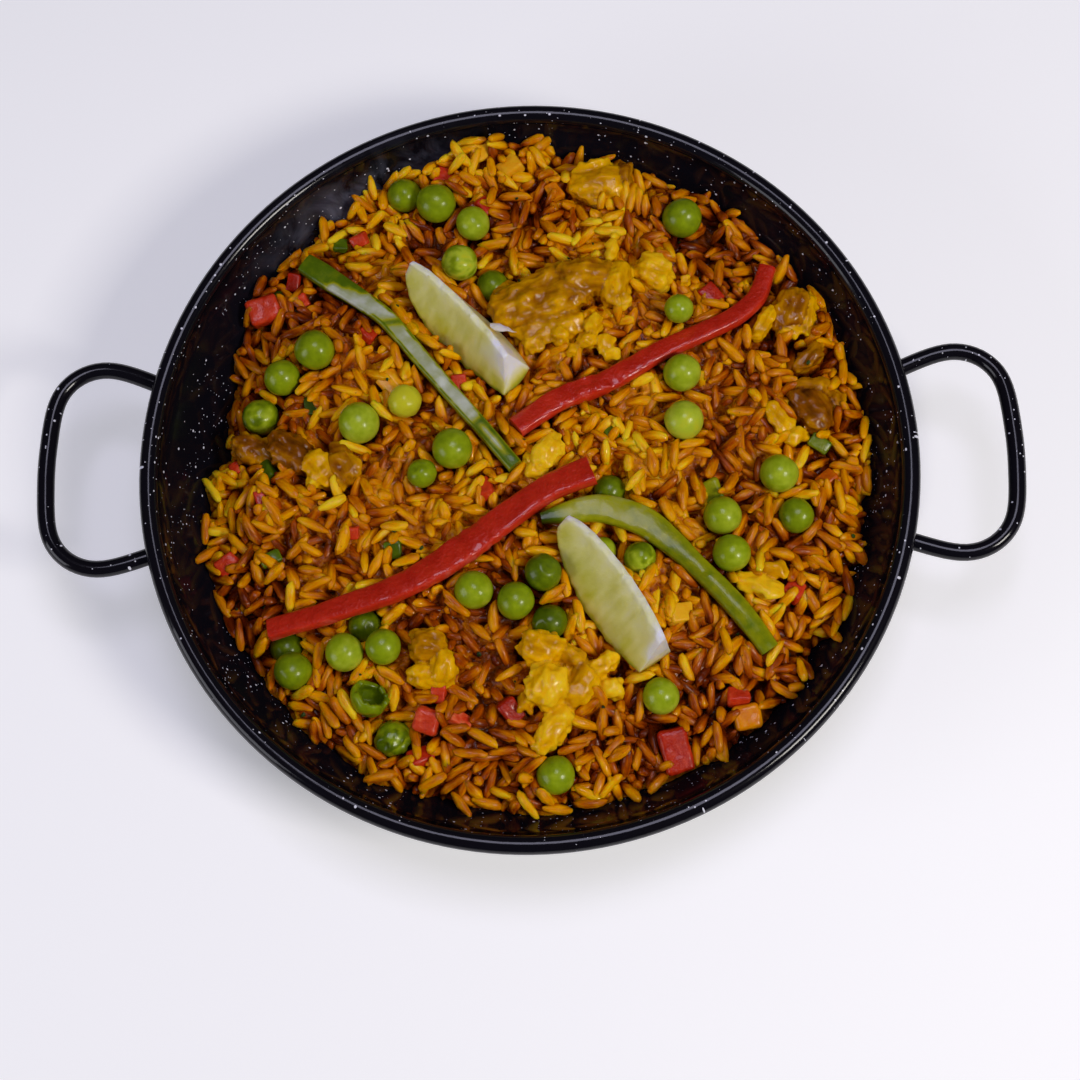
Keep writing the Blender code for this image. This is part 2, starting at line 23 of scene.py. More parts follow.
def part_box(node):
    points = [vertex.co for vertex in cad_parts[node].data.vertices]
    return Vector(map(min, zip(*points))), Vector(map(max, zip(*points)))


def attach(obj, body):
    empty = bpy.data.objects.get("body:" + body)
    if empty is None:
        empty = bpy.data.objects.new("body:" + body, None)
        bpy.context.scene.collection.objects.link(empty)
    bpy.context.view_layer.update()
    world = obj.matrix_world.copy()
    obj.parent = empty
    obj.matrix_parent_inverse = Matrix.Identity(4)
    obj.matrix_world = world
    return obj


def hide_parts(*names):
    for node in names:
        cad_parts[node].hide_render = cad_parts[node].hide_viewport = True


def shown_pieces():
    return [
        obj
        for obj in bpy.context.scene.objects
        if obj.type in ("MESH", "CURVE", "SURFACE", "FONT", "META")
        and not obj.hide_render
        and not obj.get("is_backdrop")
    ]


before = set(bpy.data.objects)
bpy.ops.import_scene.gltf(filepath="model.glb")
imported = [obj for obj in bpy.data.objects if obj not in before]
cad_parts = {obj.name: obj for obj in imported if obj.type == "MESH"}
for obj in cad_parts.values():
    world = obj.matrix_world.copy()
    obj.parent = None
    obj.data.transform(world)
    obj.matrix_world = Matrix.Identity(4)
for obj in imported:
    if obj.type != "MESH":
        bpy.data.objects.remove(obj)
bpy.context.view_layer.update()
MM = 0.001
ROOT = "root"
LOG = logging.getLogger("paella")
Array = np.ndarray
Triple = tuple[float, float, float]
ABOVE = 80.0  # clear above all the food
BELOW = -5.0  # clear below the pan
UP = Vector((0, 0, 1))
DOWN = Vector((0, 0, -1))
WELD = 0.00001  # points nearer than this, in metres, are one point


# --- helpers


def linear(code: str) -> tuple[float, float, float, float]:
    """Turns an sRGB hex colour into the linear colour that a shader takes.

    Args:
        code: A colour such as "#aabbcc".

    Returns:
        Red, green, blue and an alpha of 1.
    """
    shares = [int(code[start : start + 2], 16) / 255 for start in (1, 3, 5)]
    red, green, blue = (s / 12.92 if s <= 0.04045 else ((s + 0.055) / 1.055) ** 2.4 for s in shares)
    return (red, green, blue, 1.0)


def add_node(
    tree: NodeTree,
    kind: str,
    settings: dict | None = None,
    links: dict | None = None,
    stops: Sequence[tuple[float, str]] = (),
) -> Node:
    """Adds a shader node with its settings and links.

    Args:
        tree: The tree that gets the node.
        kind: The node's type, without the words that all shader nodes' types start with.
        settings: Values by the name of a property, or by the name or number of an input.
        links: Output sockets by the name or number of the input that each goes to.
        stops: A colour ramp's stops, each a place from 0 to 1 and an sRGB hex colour.

    Returns:
        The new node.
    """
    node = tree.nodes.new("ShaderNode" + kind)
    for key, value in (settings or {}).items():
        if isinstance(key, int) or key in node.inputs:
            node.inputs[key].default_value = value
        else:
            setattr(node, key, value)
    for key, source in (links or {}).items():
        tree.links.new(source, node.inputs[key])
    for index, (place, colour) in enumerate(stops):
        elements = node.color_ramp.elements
        element = elements[index] if index < 2 else elements.new(place)
        element.position = place
        element.color = linear(colour)
    return node


def set_inputs(node: Node, values: dict[str, object]) -> None:
    """Sets a node's inputs by their names."""
    for name, value in values.items():
        node.inputs[name].default_value = value


def add_noise(tree: NodeTree, place: NodeSocket, size: float, **look: float) -> NodeSocket:
    """Adds a noise texture whose features are about this size in millimetres, and gives its value."""
    look = {"Scale": 1 / (size * MM), **look}
    return add_node(tree, "TexNoise", look, {"Vector": place}).outputs["Fac"]


def noise(points: Array, size: float, seed: int) -> Array:
    """Soft random values from -1 to 1.

    Args:
        points: Places, one row each, in millimetres.
        size: How far apart the bumps are.
        seed: Another seed gives another pattern.

    Returns:
        One value for each point.
    """
    side = 32
    table = np.random.default_rng(seed).uniform(-1.0, 1.0, (side, side, side))
    scaled = points / size
    low = np.floor(scaled).astype(int)
    part = scaled - low
    part = part * part * (3.0 - 2.0 * part)
    total = np.zeros(len(points))
    for corner in itertools.product((0, 1), repeat=3):
        weight = np.prod(np.where(corner, part, 1.0 - part), axis=1)
        column, row, layer = ((low + corner) % side).T
        total += weight * table[column, row, layer]
    return total


def clamp(values: Array) -> Array:
    """The values, held between 0 and 1."""
    return np.clip(values, 0.0, 1.0)


def hump(offsets: Array, width: float) -> Array:
    """A smooth hump, 1 where the offset is 0 and almost nothing two widths away."""
    return np.exp(-((offsets / width) ** 2))


def points_of(piece: Object) -> Array:
    """A mesh's points in millimetres, one row each."""
    flat = np.empty(len(piece.data.vertices) * 3)
    piece.data.vertices.foreach_get("co", flat)
    return flat.reshape(-1, 3) / MM


def move_points(piece: Object, points: Array) -> None:
    """Gives a mesh's points new places in millimetres."""
    piece.data.vertices.foreach_set("co", (points * MM).ravel())
    piece.data.update()


def normals_of(piece: Object) -> Array:
    """The outward direction at each point of a mesh."""
    flat = np.empty(len(piece.data.vertices) * 3, np.float32)
    piece.data.vertices.foreach_get("normal", flat)
    return flat.reshape(-1, 3).astype(float)


def unit(rows: Array) -> Array:
    """The rows as directions, each one long."""
    return rows / np.maximum(np.linalg.norm(rows, axis=-1, keepdims=True), 1e-12)


def set_attribute(piece: Object, name: str, values: Array) -> None:
    """Stores one number, or one vector, for each point of a mesh.

    Args:
        piece: The mesh object.
        name: What its material calls the values.
        values: One number or one row of three for each point.
    """
    kind, part = ("FLOAT", "value") if values.ndim == 1 else ("FLOAT_VECTOR", "vector")
    attribute = piece.data.attributes.new(name, kind, "POINT")
    attribute.data.foreach_set(part, np.ascontiguousarray(values, np.float32).ravel())


def link(thing: Object) -> Object:
    """Puts a new object in the scene."""
    bpy.context.scene.collection.objects.link(thing)
    return thing


def new_piece(
    name: str, points: Array, faces: Sequence[Sequence[int]], edges: Sequence[tuple[int, int]] = ()
) -> Object:
    """Makes a mesh object from points in millimetres.

    Args:
        name: The piece's name.
        points: Its points, one row each.
        faces: The point numbers of each face, anticlockwise from outside.
        edges: The point numbers of each edge that has no face.

    Returns:
        The new object, in the scene.
    """
    mesh = bpy.data.meshes.new(name)
    mesh.from_pydata((points * MM).tolist(), edges, faces)
    return link(bpy.data.objects.new(name, mesh))


def seed_of(name: str) -> int:
    """A number for the random patterns of the piece with this name."""
    return sum(map(ord, name))


def level_turn(degrees: float) -> Array:
    """The rotation by an angle about the vertical."""
    return np.array(Matrix.Rotation(math.radians(degrees), 3, "Z"))


def grid_faces(rows: int, columns: int, closed: bool, start: int = 0) -> list[tuple[int, ...]]:
    """The quads between rows of points.

    Args:
        rows: How many rows there are.
        columns: How many points each row has.
        closed: Whether the last point of a row joins the first.
        start: The number of the first point.

    Returns:
        The point numbers of each quad.
    """
    faces = []
    for row in range(rows - 1):
        for column in range(columns if closed else columns - 1):
            after = (column + 1) % columns
            here, above = start + row * columns, start + (row + 1) * columns
            faces.append((here + column, here + after, above + after, above + column))
    return faces


def end_faces(rows: int, columns: int) -> list[tuple[int, ...]]:
    """The triangles that close a tube of rows round two hubs, which are the two points after them.

    Args:
        rows: How many rows there are.
        columns: How many points each row has.

    Returns:
        The point numbers of each triangle.
    """
    faces = []
    last, hub = (rows - 1) * columns, rows * columns
    for column in range(columns):
        after = (column + 1) % columns
        faces.append((after, column, hub))
        faces.append((last + column, last + after, hub + 1))
    return faces


def apply_modifier(piece: Object, kind: str, **settings: object) -> None:
    """Adds a modifier, sets it and applies it.

    Args:
        piece: The mesh object.
        kind: The modifier's type.
        settings: Its properties.
    """
    choose(piece)
    modifier = piece.modifiers.new(kind.lower(), kind)
    for key, value in settings.items():
        setattr(modifier, key, value)
    bpy.ops.object.modifier_apply(modifier=modifier.name)


def choose(*pieces: Object) -> None:
    """Selects these objects alone, with the first one active."""
    for other in list(bpy.context.selected_objects):
        other.select_set(False)
    for piece in pieces:
        piece.select_set(True)
    bpy.context.view_layer.objects.active = pieces[0]


def join_pieces(name: str, pieces: Sequence[Object]) -> Object:
    """Joins mesh objects into the first of them, and names it."""
    choose(*pieces)
    bpy.ops.object.join()
    pieces[0].name = name
    return pieces[0]


@contextmanager
def editing(piece: Object) -> Iterator[None]:
    """Opens a mesh in edit mode with all of it selected, and leaves edit mode at the end.

    Args:
        piece: The object.
    """
    choose(piece)
    bpy.ops.object.mode_set(mode="EDIT")
    bpy.ops.mesh.select_all(action="SELECT")
    yield
    bpy.ops.object.mode_set(mode="OBJECT")


def new_primitive() -> Object:
    """The primitive just added, with its place, turn and size taken into its mesh."""
    bpy.ops.object.transform_apply(location=True, rotation=True, scale=True)
    return bpy.context.object


def copy_of_node(node: str, name: str) -> Object:
    """A copy of a CAD node's mesh, with its triangles joined up into quads.

    Args:
        node: The CAD node.
        name: The new piece's name.

    Returns:
        The copy.
    """
    piece = link(bpy.data.objects.new(name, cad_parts[node].data.copy()))
    piece.data.materials.clear()
    with editing(piece):
        bpy.ops.mesh.remove_doubles(threshold=WELD)
        bpy.ops.mesh.customdata_custom_splitnormals_clear()
        bpy.ops.mesh.tris_convert_to_quads()
    return piece


class Slot(Enum):
    """The record's material slots."""

    ENAMEL = "black_enamel"
    RICE = "saffron_rice"
    PEA = "green_pea"
    RED_PEPPER = "red_pepper"
    GREEN_PEPPER = "green_pepper"
    LIME = "lime_flesh"
    CHICKEN = "cooked_chicken"
    CARROT = "cooked_carrot"


# --- finishes


@dataclass(frozen=True)
class Finish:
    """A real material with its surface, and the record's slot that it belongs to."""

    name: str
    slot: Slot

    def material(self) -> Material:
        """The Blender material, made the first time that it is asked for."""
        found = bpy.data.materials.get(self.name)
        if found:
            return found
        made = bpy.data.materials.new(self.name)
        made.use_nodes = True
        self.paint(made.node_tree, made.node_tree.nodes["Principled BSDF"])
        return made

    def paint(self, tree: NodeTree, shader: Node) -> None:
        """Sets a material's Principled shader and adds the nodes that drive it."""
        raise NotImplementedError


@dataclass(frozen=True)
class Flecks:
    """One kind of white fleck in the enamel."""

    spacing: float  # how far apart they would be if there were no gaps
    largest: float  # the largest one's radius
    chance: float  # the share of the places that have one where they are most crowded


@dataclass(frozen=True)
class FiredEnamel(Finish):
    """Vitreous enamel on steel: black glass with white flecks in it and a hard, wet shine.

    The points' "sheet" is the place on the pressed sheet as if it lay unrolled, and their "film" says how
    strong the pale, cloudy patch on the wall is there.
    """

    black: str = "#0e0e17"
    fleck: str = "#e4e5f0"
    oil: str = "#110e12"
    # film: the colour of the pale, cloudy patch high on the far left of the inner wall.
    film: str = "#8d90a6"
    flecks: tuple[Flecks, Flecks] = (Flecks(3.4, 0.42, 0.5), Flecks(1.5, 0.22, 0.28))
    patch_size: float = 17.0  # of the crowds of flecks
    oil_size: float = 19.0
    cloud_size: float = 11.0  # of the clouds in the pale patch
    wave_size: float = 6.0  # of the waves that the enamel ran into as it melted

    def paint(self, tree: NodeTree, shader: Node) -> None:
        """Flecks and finer dust in black glass, and a pale, cloudy, rougher patch on the wall.

        Args:
            tree: The material's tree.
            shader: Its Principled node.
        """
        sheet = add_node(tree, "Attribute", {"attribute_name": "sheet"}).outputs["Vector"]
        place = add_node(tree, "TexCoord").outputs["Object"]
        patches = add_noise(tree, sheet, self.patch_size, Detail=2.0)
        limits = {"From Min": 0.38, "From Max": 0.62}
        crowd = add_node(tree, "MapRange", limits, {"Value": patches}).outputs[0]
        masks = [self.fleck_mask(tree, sheet, crowd, kind) for kind in self.flecks]
        most = add_node(tree, "Math", {"operation": "MAXIMUM"}, dict(enumerate(masks)))
        oily = add_noise(tree, place, self.oil_size, Detail=4.0)
        film = add_node(tree, "Attribute", {"attribute_name": "film"})
        cloud = add_noise(tree, place, self.cloud_size, Detail=6.0, Roughness=0.6, Distortion=0.8)
        limits = {"From Min": 0.4, "From Max": 0.75}
        cloudy = add_node(tree, "MapRange", limits, {"Value": cloud})
        both = {0: cloudy.outputs[0], 1: film.outputs["Fac"]}
        pale_cloud = add_node(tree, "Math", {"operation": "MULTIPLY"}, both).outputs[0]
        colours = {"data_type": "RGBA", 6: linear(self.black), 7: linear(self.oil)}
        colour = add_node(tree, "Mix", colours, {0: oily}).outputs[2]
        for mask, over in ((pale_cloud, self.film), (most.outputs[0], self.fleck)):
            colours = {"data_type": "RGBA", 7: linear(over)}
            colour = add_node(tree, "Mix", colours, {0: mask, 6: colour}).outputs[2]
        tree.links.new(colour, shader.inputs["Base Color"])
        rough = add_node(tree, "MapRange", {"To Min": 0.12, "To Max": 0.5}, {"Value": pale_cloud})
        tree.links.new(rough.outputs[0], shader.inputs["Roughness"])
        waves = add_noise(tree, place, self.wave_size, Detail=2.0)
        bump = add_node(tree, "Bump", {"Strength": 0.15, "Distance": 0.3 * MM}, {"Height": waves})
        tree.links.new(bump.outputs[0], shader.inputs["Normal"])
        set_inputs(shader, {"IOR": 1.52, "Specular IOR Level": 0.28})

    def fleck_mask(self, tree: NodeTree, sheet: NodeSocket, crowd: NodeSocket, kind: Flecks) -> NodeSocket:
        """Adds the nodes that are 1 on flecks of one kind and 0 between them.

        Args:
            tree: The material's tree.
            sheet: The place on the sheet.
            crowd: How crowded the flecks are there, from 0 to 1.
            kind: The flecks.

        Returns:
            The mask's socket.
        """
        look = {"voronoi_dimensions": "2D", "Scale": 1 / (kind.spacing * MM)}
        cells = add_node(tree, "TexVoronoi", look, {"Vector": sheet})
        luck = add_node(tree, "SeparateColor", None, {0: cells.outputs["Color"]}).outputs[0]
        sums = {"operation": "MULTIPLY_ADD", 1: -kind.chance, 2: 1.0}
        rare = add_node(tree, "Math", sums, {0: crowd}).outputs[0]
        limits = {"From Max": 1.0, "To Max": kind.largest / kind.spacing}
        size = add_node(tree, "MapRange", limits, {"Value": luck, "From Min": rare}).outputs[0]
        ends = {0: size, 1: cells.outputs["Distance"]}
        edge = add_node(tree, "Math", {"operation": "SUBTRACT"}, ends).outputs[0]
        crisp = {"operation": "MULTIPLY", "use_clamp": True, 1: 40.0}
        return add_node(tree, "Math", crisp, {0: edge}).outputs[0]


@dataclass(frozen=True)
class MoistFood(Finish):
    """Cooked food: a coloured, slightly clear body with fine relief under a thin wet film.

    The points' tone, from 0 to 1, picks the colour from the stops, and noise moves it a little.
    """

    stops: tuple[tuple[float, str], ...] = ((0.0, "#000000"), (1.0, "#ffffff"))
    mottle: float = 0.2  # how far the noise moves the tone
    mottle_size: float = 2.0
    relief: float = 0.15  # height of the bumps
    relief_size: float = 0.8
    roughness: float = 0.35
    shine: float = 0.3  # the body's own mirror strength, where 0.5 is a dry polished surface
    wet: float = 0.4
    wet_roughness: float = 0.12
    clearness: float = 0.2  # share of light that spreads under the skin
    spread: Triple = (1.0, 0.6, 0.2)
    stretch: Triple = (1.0, 1.0, 1.0)
    follows: str = ""  # the attribute that patterns follow, or nothing for the object's own place
    body_index: float = 1.42  # the index of refraction of moist starch and flesh
    film_index: float = 1.36  # and of oily broth
    depth: float = 1.2  # how deep light spreads

    def paint(self, tree: NodeTree, shader: Node) -> None:
        """Colour by tone, relief by noise, and a wet coat.

        Args:
            tree: The material's tree.
            shader: Its Principled node.
        """
        if self.follows:
            source = add_node(tree, "Attribute", {"attribute_name": self.follows}).outputs["Vector"]
        else:
            source = add_node(tree, "TexCoord").outputs["Object"]
        place = add_node(tree, "Mapping", {"Scale": self.stretch}, {"Vector": source}).outputs[0]
        mottle = add_noise(tree, place, self.mottle_size, Detail=3.0)
        limits = {"From Min": 0.25, "From Max": 0.75, "To Min": -self.mottle, "To Max": self.mottle}
        shift = add_node(tree, "MapRange", limits, {"Value": mottle})
        tone = add_node(tree, "Attribute", {"attribute_name": "tone"})
        both = {0: tone.outputs["Fac"], 1: shift.outputs[0]}
        total = add_node(tree, "Math", {"operation": "ADD"}, both)
        ramp = add_node(tree, "ValToRGB", None, {0: total.outputs[0]}, self.stops)
        tree.links.new(ramp.outputs[0], shader.inputs["Base Color"])
        bumps = add_noise(tree, place, self.relief_size, Detail=3.0, Roughness=0.6)
        look = {"Strength": 1.0, "Distance": self.relief * MM}
        bump = add_node(tree, "Bump", look, {"Height": bumps})
        tree.links.new(bump.outputs[0], shader.inputs["Normal"])
        values = {
            "Roughness": self.roughness,
            "IOR": self.body_index,
            "Specular IOR Level": self.shine,
            "Coat Weight": self.wet,
            "Coat Roughness": self.wet_roughness,
            "Coat IOR": self.film_index,
            "Subsurface Weight": self.clearness,
            "Subsurface Radius": self.spread,
            "Subsurface Scale": self.depth * MM,
        }
        set_inputs(shader, values)


# Enamel, fired glass: flecked black, and shiny enough to mirror the food and the lights.
ENAMEL = FiredEnamel("vitreous enamel, fired black", Slot.ENAMEL)

# Parboiled rice stewed in saffron broth: golden on top and brown-orange lower down, which is partly broth
# and partly painted shade between the grains.
RICE_GRAIN = MoistFood(
    "stewed rice, moist", Slot.RICE,
    ((0.0, "#641f00"), (0.25, "#a84c00"), (0.5, "#d68400"), (0.75, "#f0aa00"), (1.0, "#ffd020")),
    mottle=0.24, mottle_size=1.8, relief=0.34, relief_size=0.7, roughness=0.22, shine=0.12, wet=0.32,
    wet_roughness=0.045, clearness=0.7, spread=(1.0, 0.5, 0.04), stretch=(0.3, 1.0, 1.0),
    follows="grain",
)
# Broken rice in thick broth: what holds the loose grains together, dark, clear and sticky.
RICE_MASH = MoistFood(
    "broth and broken rice", Slot.RICE,
    ((0.0, "#481800"), (0.35, "#8e4000"), (0.65, "#cc7c00"), (1.0, "#f2b008")),
    mottle=0.3, mottle_size=2.2, relief=0.6, relief_size=1.4, roughness=0.2, shine=0.12, wet=0.18,
    wet_roughness=0.05, clearness=0.5, spread=(1.0, 0.5, 0.04),
)
# Garden peas: a thin glossy skin over a clear green body, so light pools inside on the far side.
PEA_SKIN = MoistFood(
    "boiled pea skin", Slot.PEA,
    ((0.0, "#2a3c02"), (0.3, "#586c04"), (0.6, "#92a610"), (0.8, "#b8c834"), (1.0, "#cdca28")),
    mottle=0.09, mottle_size=2.2, relief=0.06, relief_size=1.1, roughness=0.28, shine=0.25, wet=0.38,
    wet_roughness=0.1, clearness=0.35, spread=(0.9, 1.0, 0.12),
)
# Roasted red pepper: taut waxy skin that sparkles where it turns to the light.
RED_PEPPER = MoistFood(
    "red pepper skin", Slot.RED_PEPPER,
    ((0.0, "#6a0a03"), (0.45, "#ae1a09"), (0.75, "#cf3018"), (1.0, "#e87c68")),
    mottle=0.1, mottle_size=3.5, relief=0.4, relief_size=1.1, roughness=0.26, shine=0.25, wet=0.85,
    wet_roughness=0.06, clearness=0.25, spread=(1.0, 0.12, 0.05),
)
# Boiled red pepper: soft, clear, orange-red flesh with the skin cooked off its edges.
RED_FLESH = MoistFood(
    "boiled red pepper flesh", Slot.RED_PEPPER,
    ((0.0, "#6a1004"), (0.45, "#b42408"), (0.75, "#d4421c"), (1.0, "#ea7848")),
    mottle=0.16, mottle_size=1.8, relief=0.25, relief_size=0.7, roughness=0.24, shine=0.25, wet=0.4,
    wet_roughness=0.09, clearness=0.5, spread=(1.0, 0.25, 0.06),
)
# Green pepper: bright waxy skin, and pale wet flesh where the skin has slipped off.
GREEN_PEPPER = MoistFood(
    "green pepper, skin and flesh", Slot.GREEN_PEPPER,
    ((0.0, "#2a3c04"), (0.3, "#566e08"), (0.55, "#a0a00a"), (0.8, "#a0a67c"), (1.0, "#c8ccc0")),
    mottle=0.07, mottle_size=2.5, relief=0.08, relief_size=0.6, roughness=0.26, shine=0.25, wet=0.4,
    wet_roughness=0.1, clearness=0.3, spread=(0.8, 1.0, 0.2),
)
# Lime: wet pulp between pale membranes, white pith and an oily green rind.
LIME = MoistFood(
    "cut lime", Slot.LIME,
    ((0.0, "#7f9c10"), (0.25, "#cfcc3e"), (0.5, "#eae690"), (0.75, "#f0eec4"), (1.0, "#fafaf4")),
    mottle=0.07, mottle_size=4.0, relief=0.14, relief_size=1.0, roughness=0.28, shine=0.3, wet=0.3,
    wet_roughness=0.14, clearness=0.9, spread=(3.5, 3.5, 1.2), stretch=(1.0, 1.0, 0.45),
)
# Stewed chicken: fibrous, torn and stained ochre by the broth, browned where it was fried.
CHICKEN = MoistFood(
    "stewed chicken, stained yellow", Slot.CHICKEN,
    ((0.0, "#4c2200"), (0.25, "#8e5000"), (0.5, "#c48600"), (0.75, "#ecb000"), (1.0, "#ffcc1c")),
    mottle=0.18, mottle_size=2.6, relief=0.12, relief_size=0.7, roughness=0.24, shine=0.12, wet=0.45,
    wet_roughness=0.06, clearness=0.5, spread=(1.0, 0.6, 0.06), stretch=(0.28, 1.0, 1.0),
    follows="fibre",
)
# Carrot and orange pepper: clear orange flesh with crisp cut faces.
CARROT = MoistFood(
    "boiled carrot", Slot.CARROT,
    ((0.0, "#8a2c00"), (0.4, "#cc6200"), (0.7, "#e69400"), (1.0, "#f4b820")),
    mottle=0.12, relief=0.12, roughness=0.26, shine=0.25, clearness=0.45, spread=(1.0, 0.5, 0.06),
)
# Parsley and ground pepper: dull dark specks on the wet rice.
HERB = MoistFood(
    "chopped parsley and pepper", Slot.GREEN_PEPPER,
    ((0.0, "#160d03"), (0.5, "#24330a"), (1.0, "#3f5a12")),
    mottle=0.1, relief=0.05, roughness=0.5, wet=0.2, clearness=0.0,
)


def finish_piece(piece: Object, finish: Finish, *nodes: str) -> Object:
    """Dresses a finished mesh and fixes it to the object.

    Args:
        piece: The mesh object.
        finish: Its material.
        nodes: The CAD nodes that the piece stands for.

    Returns:
        The same piece.
    """
    piece.data.materials.clear()
    piece.data.materials.append(finish.material())
    choose(piece)
    bpy.ops.object.shade_smooth()
    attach(piece, ROOT)
    if nodes:
        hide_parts(*nodes)
    piece.data.calc_loop_triangles()
    LOG.info("%s: %d triangles, %s", piece.name, len(piece.data.loop_triangles), finish.name)
    return piece


# --- pan


@dataclass
class Pan:
    """One pressed sheet with a rolled rim, and two bent wires."""

    sheet: float = 1.0
    slope: float = math.radians(59.8)
    wall_foot_radius: float = 76.5
    corner_radius: float = 9.0
    bead_radius: float = 2.4
    bead_start: float = math.radians(-125.0)
    bead_end: float = math.radians(205.0)
    steps: int = 180
    corner_steps: int = 8
    wall_steps: int = 8
    bead_steps: int = 22
    wire_swell: float = 0.24  # what subdivision takes off the seven-sided wire
    film_angle: float = 117.0  # degrees round from the right, where the pale patch lies
    film_width: float = 17.0  # degrees
    film_height: float = 26.0
    film_depth: float = 7.0
    film_strength: float = 0.6

    def wall_radius(self, height: Array | float, offset: float) -> Array | float:
        """The wall's radius at a height, moved inwards by offset from its outer face."""
        return self.wall_foot_radius + height / math.tan(self.slope) - offset / math.sin(self.slope)

    def arc(
        self, centre: tuple[float, float], radius: float, start: float, end: float, steps: int
    ) -> list[tuple[float, float]]:
        """Points of an arc in the profile's plane, both ends included."""
        angles = np.linspace(start, end, steps + 1)
        return [(centre[0] + radius * math.cos(a), centre[1] + radius * math.sin(a)) for a in angles]

    def corner(self, offset: float) -> list[tuple[float, float]]:
        """The bottom corner's arc, moved inwards by offset.

        Args:
            offset: How far, 0 for the outer face.

        Returns:
            Its points.
        """
        flat = self.wall_foot_radius - self.corner_radius * math.tan(self.slope / 2)
        start = math.radians(-90.0)
        centre = (flat, self.corner_radius)
        end = start + self.slope
        return self.arc(centre, self.corner_radius - offset, start, end, self.corner_steps)

    def build(self) -> None:
        """Spins the pan from its profile and rounds off the wires."""
        low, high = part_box("pan")
        rim = max(high.x, high.y, -low.x, -low.y) / MM
        bead_centre = (round(rim) - self.bead_radius, high.z / MM - self.bead_radius)
        outer = [(0.0, 0.0), *self.corner(0.0)]
        ends = self.bead_start, self.bead_end
        bead = self.arc(bead_centre, self.bead_radius, *ends, self.bead_steps)
        low_wall, high_wall = self.corner(self.sheet)[-1], bead[-1]
        wall = [
            [low + (high - low) * share for low, high in zip(low_wall, high_wall)]
            for share in np.linspace(1.0, 0.0, self.wall_steps + 1)[1:-1]
        ]
        inner = [*wall, *reversed(self.corner(self.sheet)), (0.0, self.sheet)]
        profile = np.array([(r, 0.0, z) for r, z in outer + bead + inner])
        edges = [(i, i + 1) for i in range(len(profile) - 1)]
        pan = new_piece("pan_enamelled", profile, [], edges)
        with editing(pan):
            bpy.ops.mesh.spin(
                steps=self.steps, angle=math.tau, center=(0, 0, 0), axis=(0, 0, 1), dupli=False
            )
            bpy.ops.mesh.select_all(action="SELECT")
            bpy.ops.mesh.remove_doubles(threshold=WELD)
            bpy.ops.mesh.normals_make_consistent(inside=False)
        self.unroll(pan, bead_centre[0])
        self.pale_wall_patch(pan)
        finish_piece(pan, ENAMEL, "pan")
        for side in ("left", "right"):
            wire = copy_of_node(f"handle_{side}", f"wire_handle_{side}")
            apply_modifier(wire, "SUBSURF", levels=2, render_levels=2)
            move_points(wire, points_of(wire) + normals_of(wire) * self.wire_swell)
            set_attribute(wire, "sheet", points_of(wire) * MM)
            finish_piece(wire, ENAMEL, f"handle_{side}")

    def unroll(self, pan: Object, rim: float) -> None:
        """Stores where each corner of the pan's faces would lie if the sheet were flat.

        Args:
            pan: The spun pan.
            rim: The radius along which distances round the pan are measured.
        """
        points = points_of(pan)
        spots = []
        for polygon in pan.data.polygons:
            middle = math.atan2(polygon.center.y, polygon.center.x)
            for number in polygon.vertices:
                x, y, z = points[number]
                angle = math.remainder(math.atan2(y, x) - middle, math.tau) + middle
                spots.append((angle * rim, math.hypot(x, y) + z, 0.0))
        attribute = pan.data.attributes.new("sheet", "FLOAT_VECTOR", "CORNER")
        attribute.data.foreach_set("vector", (np.array(spots, np.float32) * MM).ravel())

    def pale_wall_patch(self, pan: Object) -> None:
        """Stores how strong the pale, cloudy patch is at each point: most on the far left of the inner wall.

        Args:
            pan: The spun pan.
        """
        points = points_of(pan)
        radii = np.hypot(points[:, 0], points[:, 1])
        middle = self.wall_radius(points[:, 2], self.sheet / 2)
        inside = (radii < middle) & (points[:, 2] > 6.0)
        angle = np.degrees(np.arctan2(points[:, 1], points[:, 0]))
        near = hump(angle - self.film_angle, self.film_width)
        high = hump(points[:, 2] - self.film_height, self.film_depth)
        set_attribute(pan, "film", inside * near * high * self.film_strength)


# --- heap


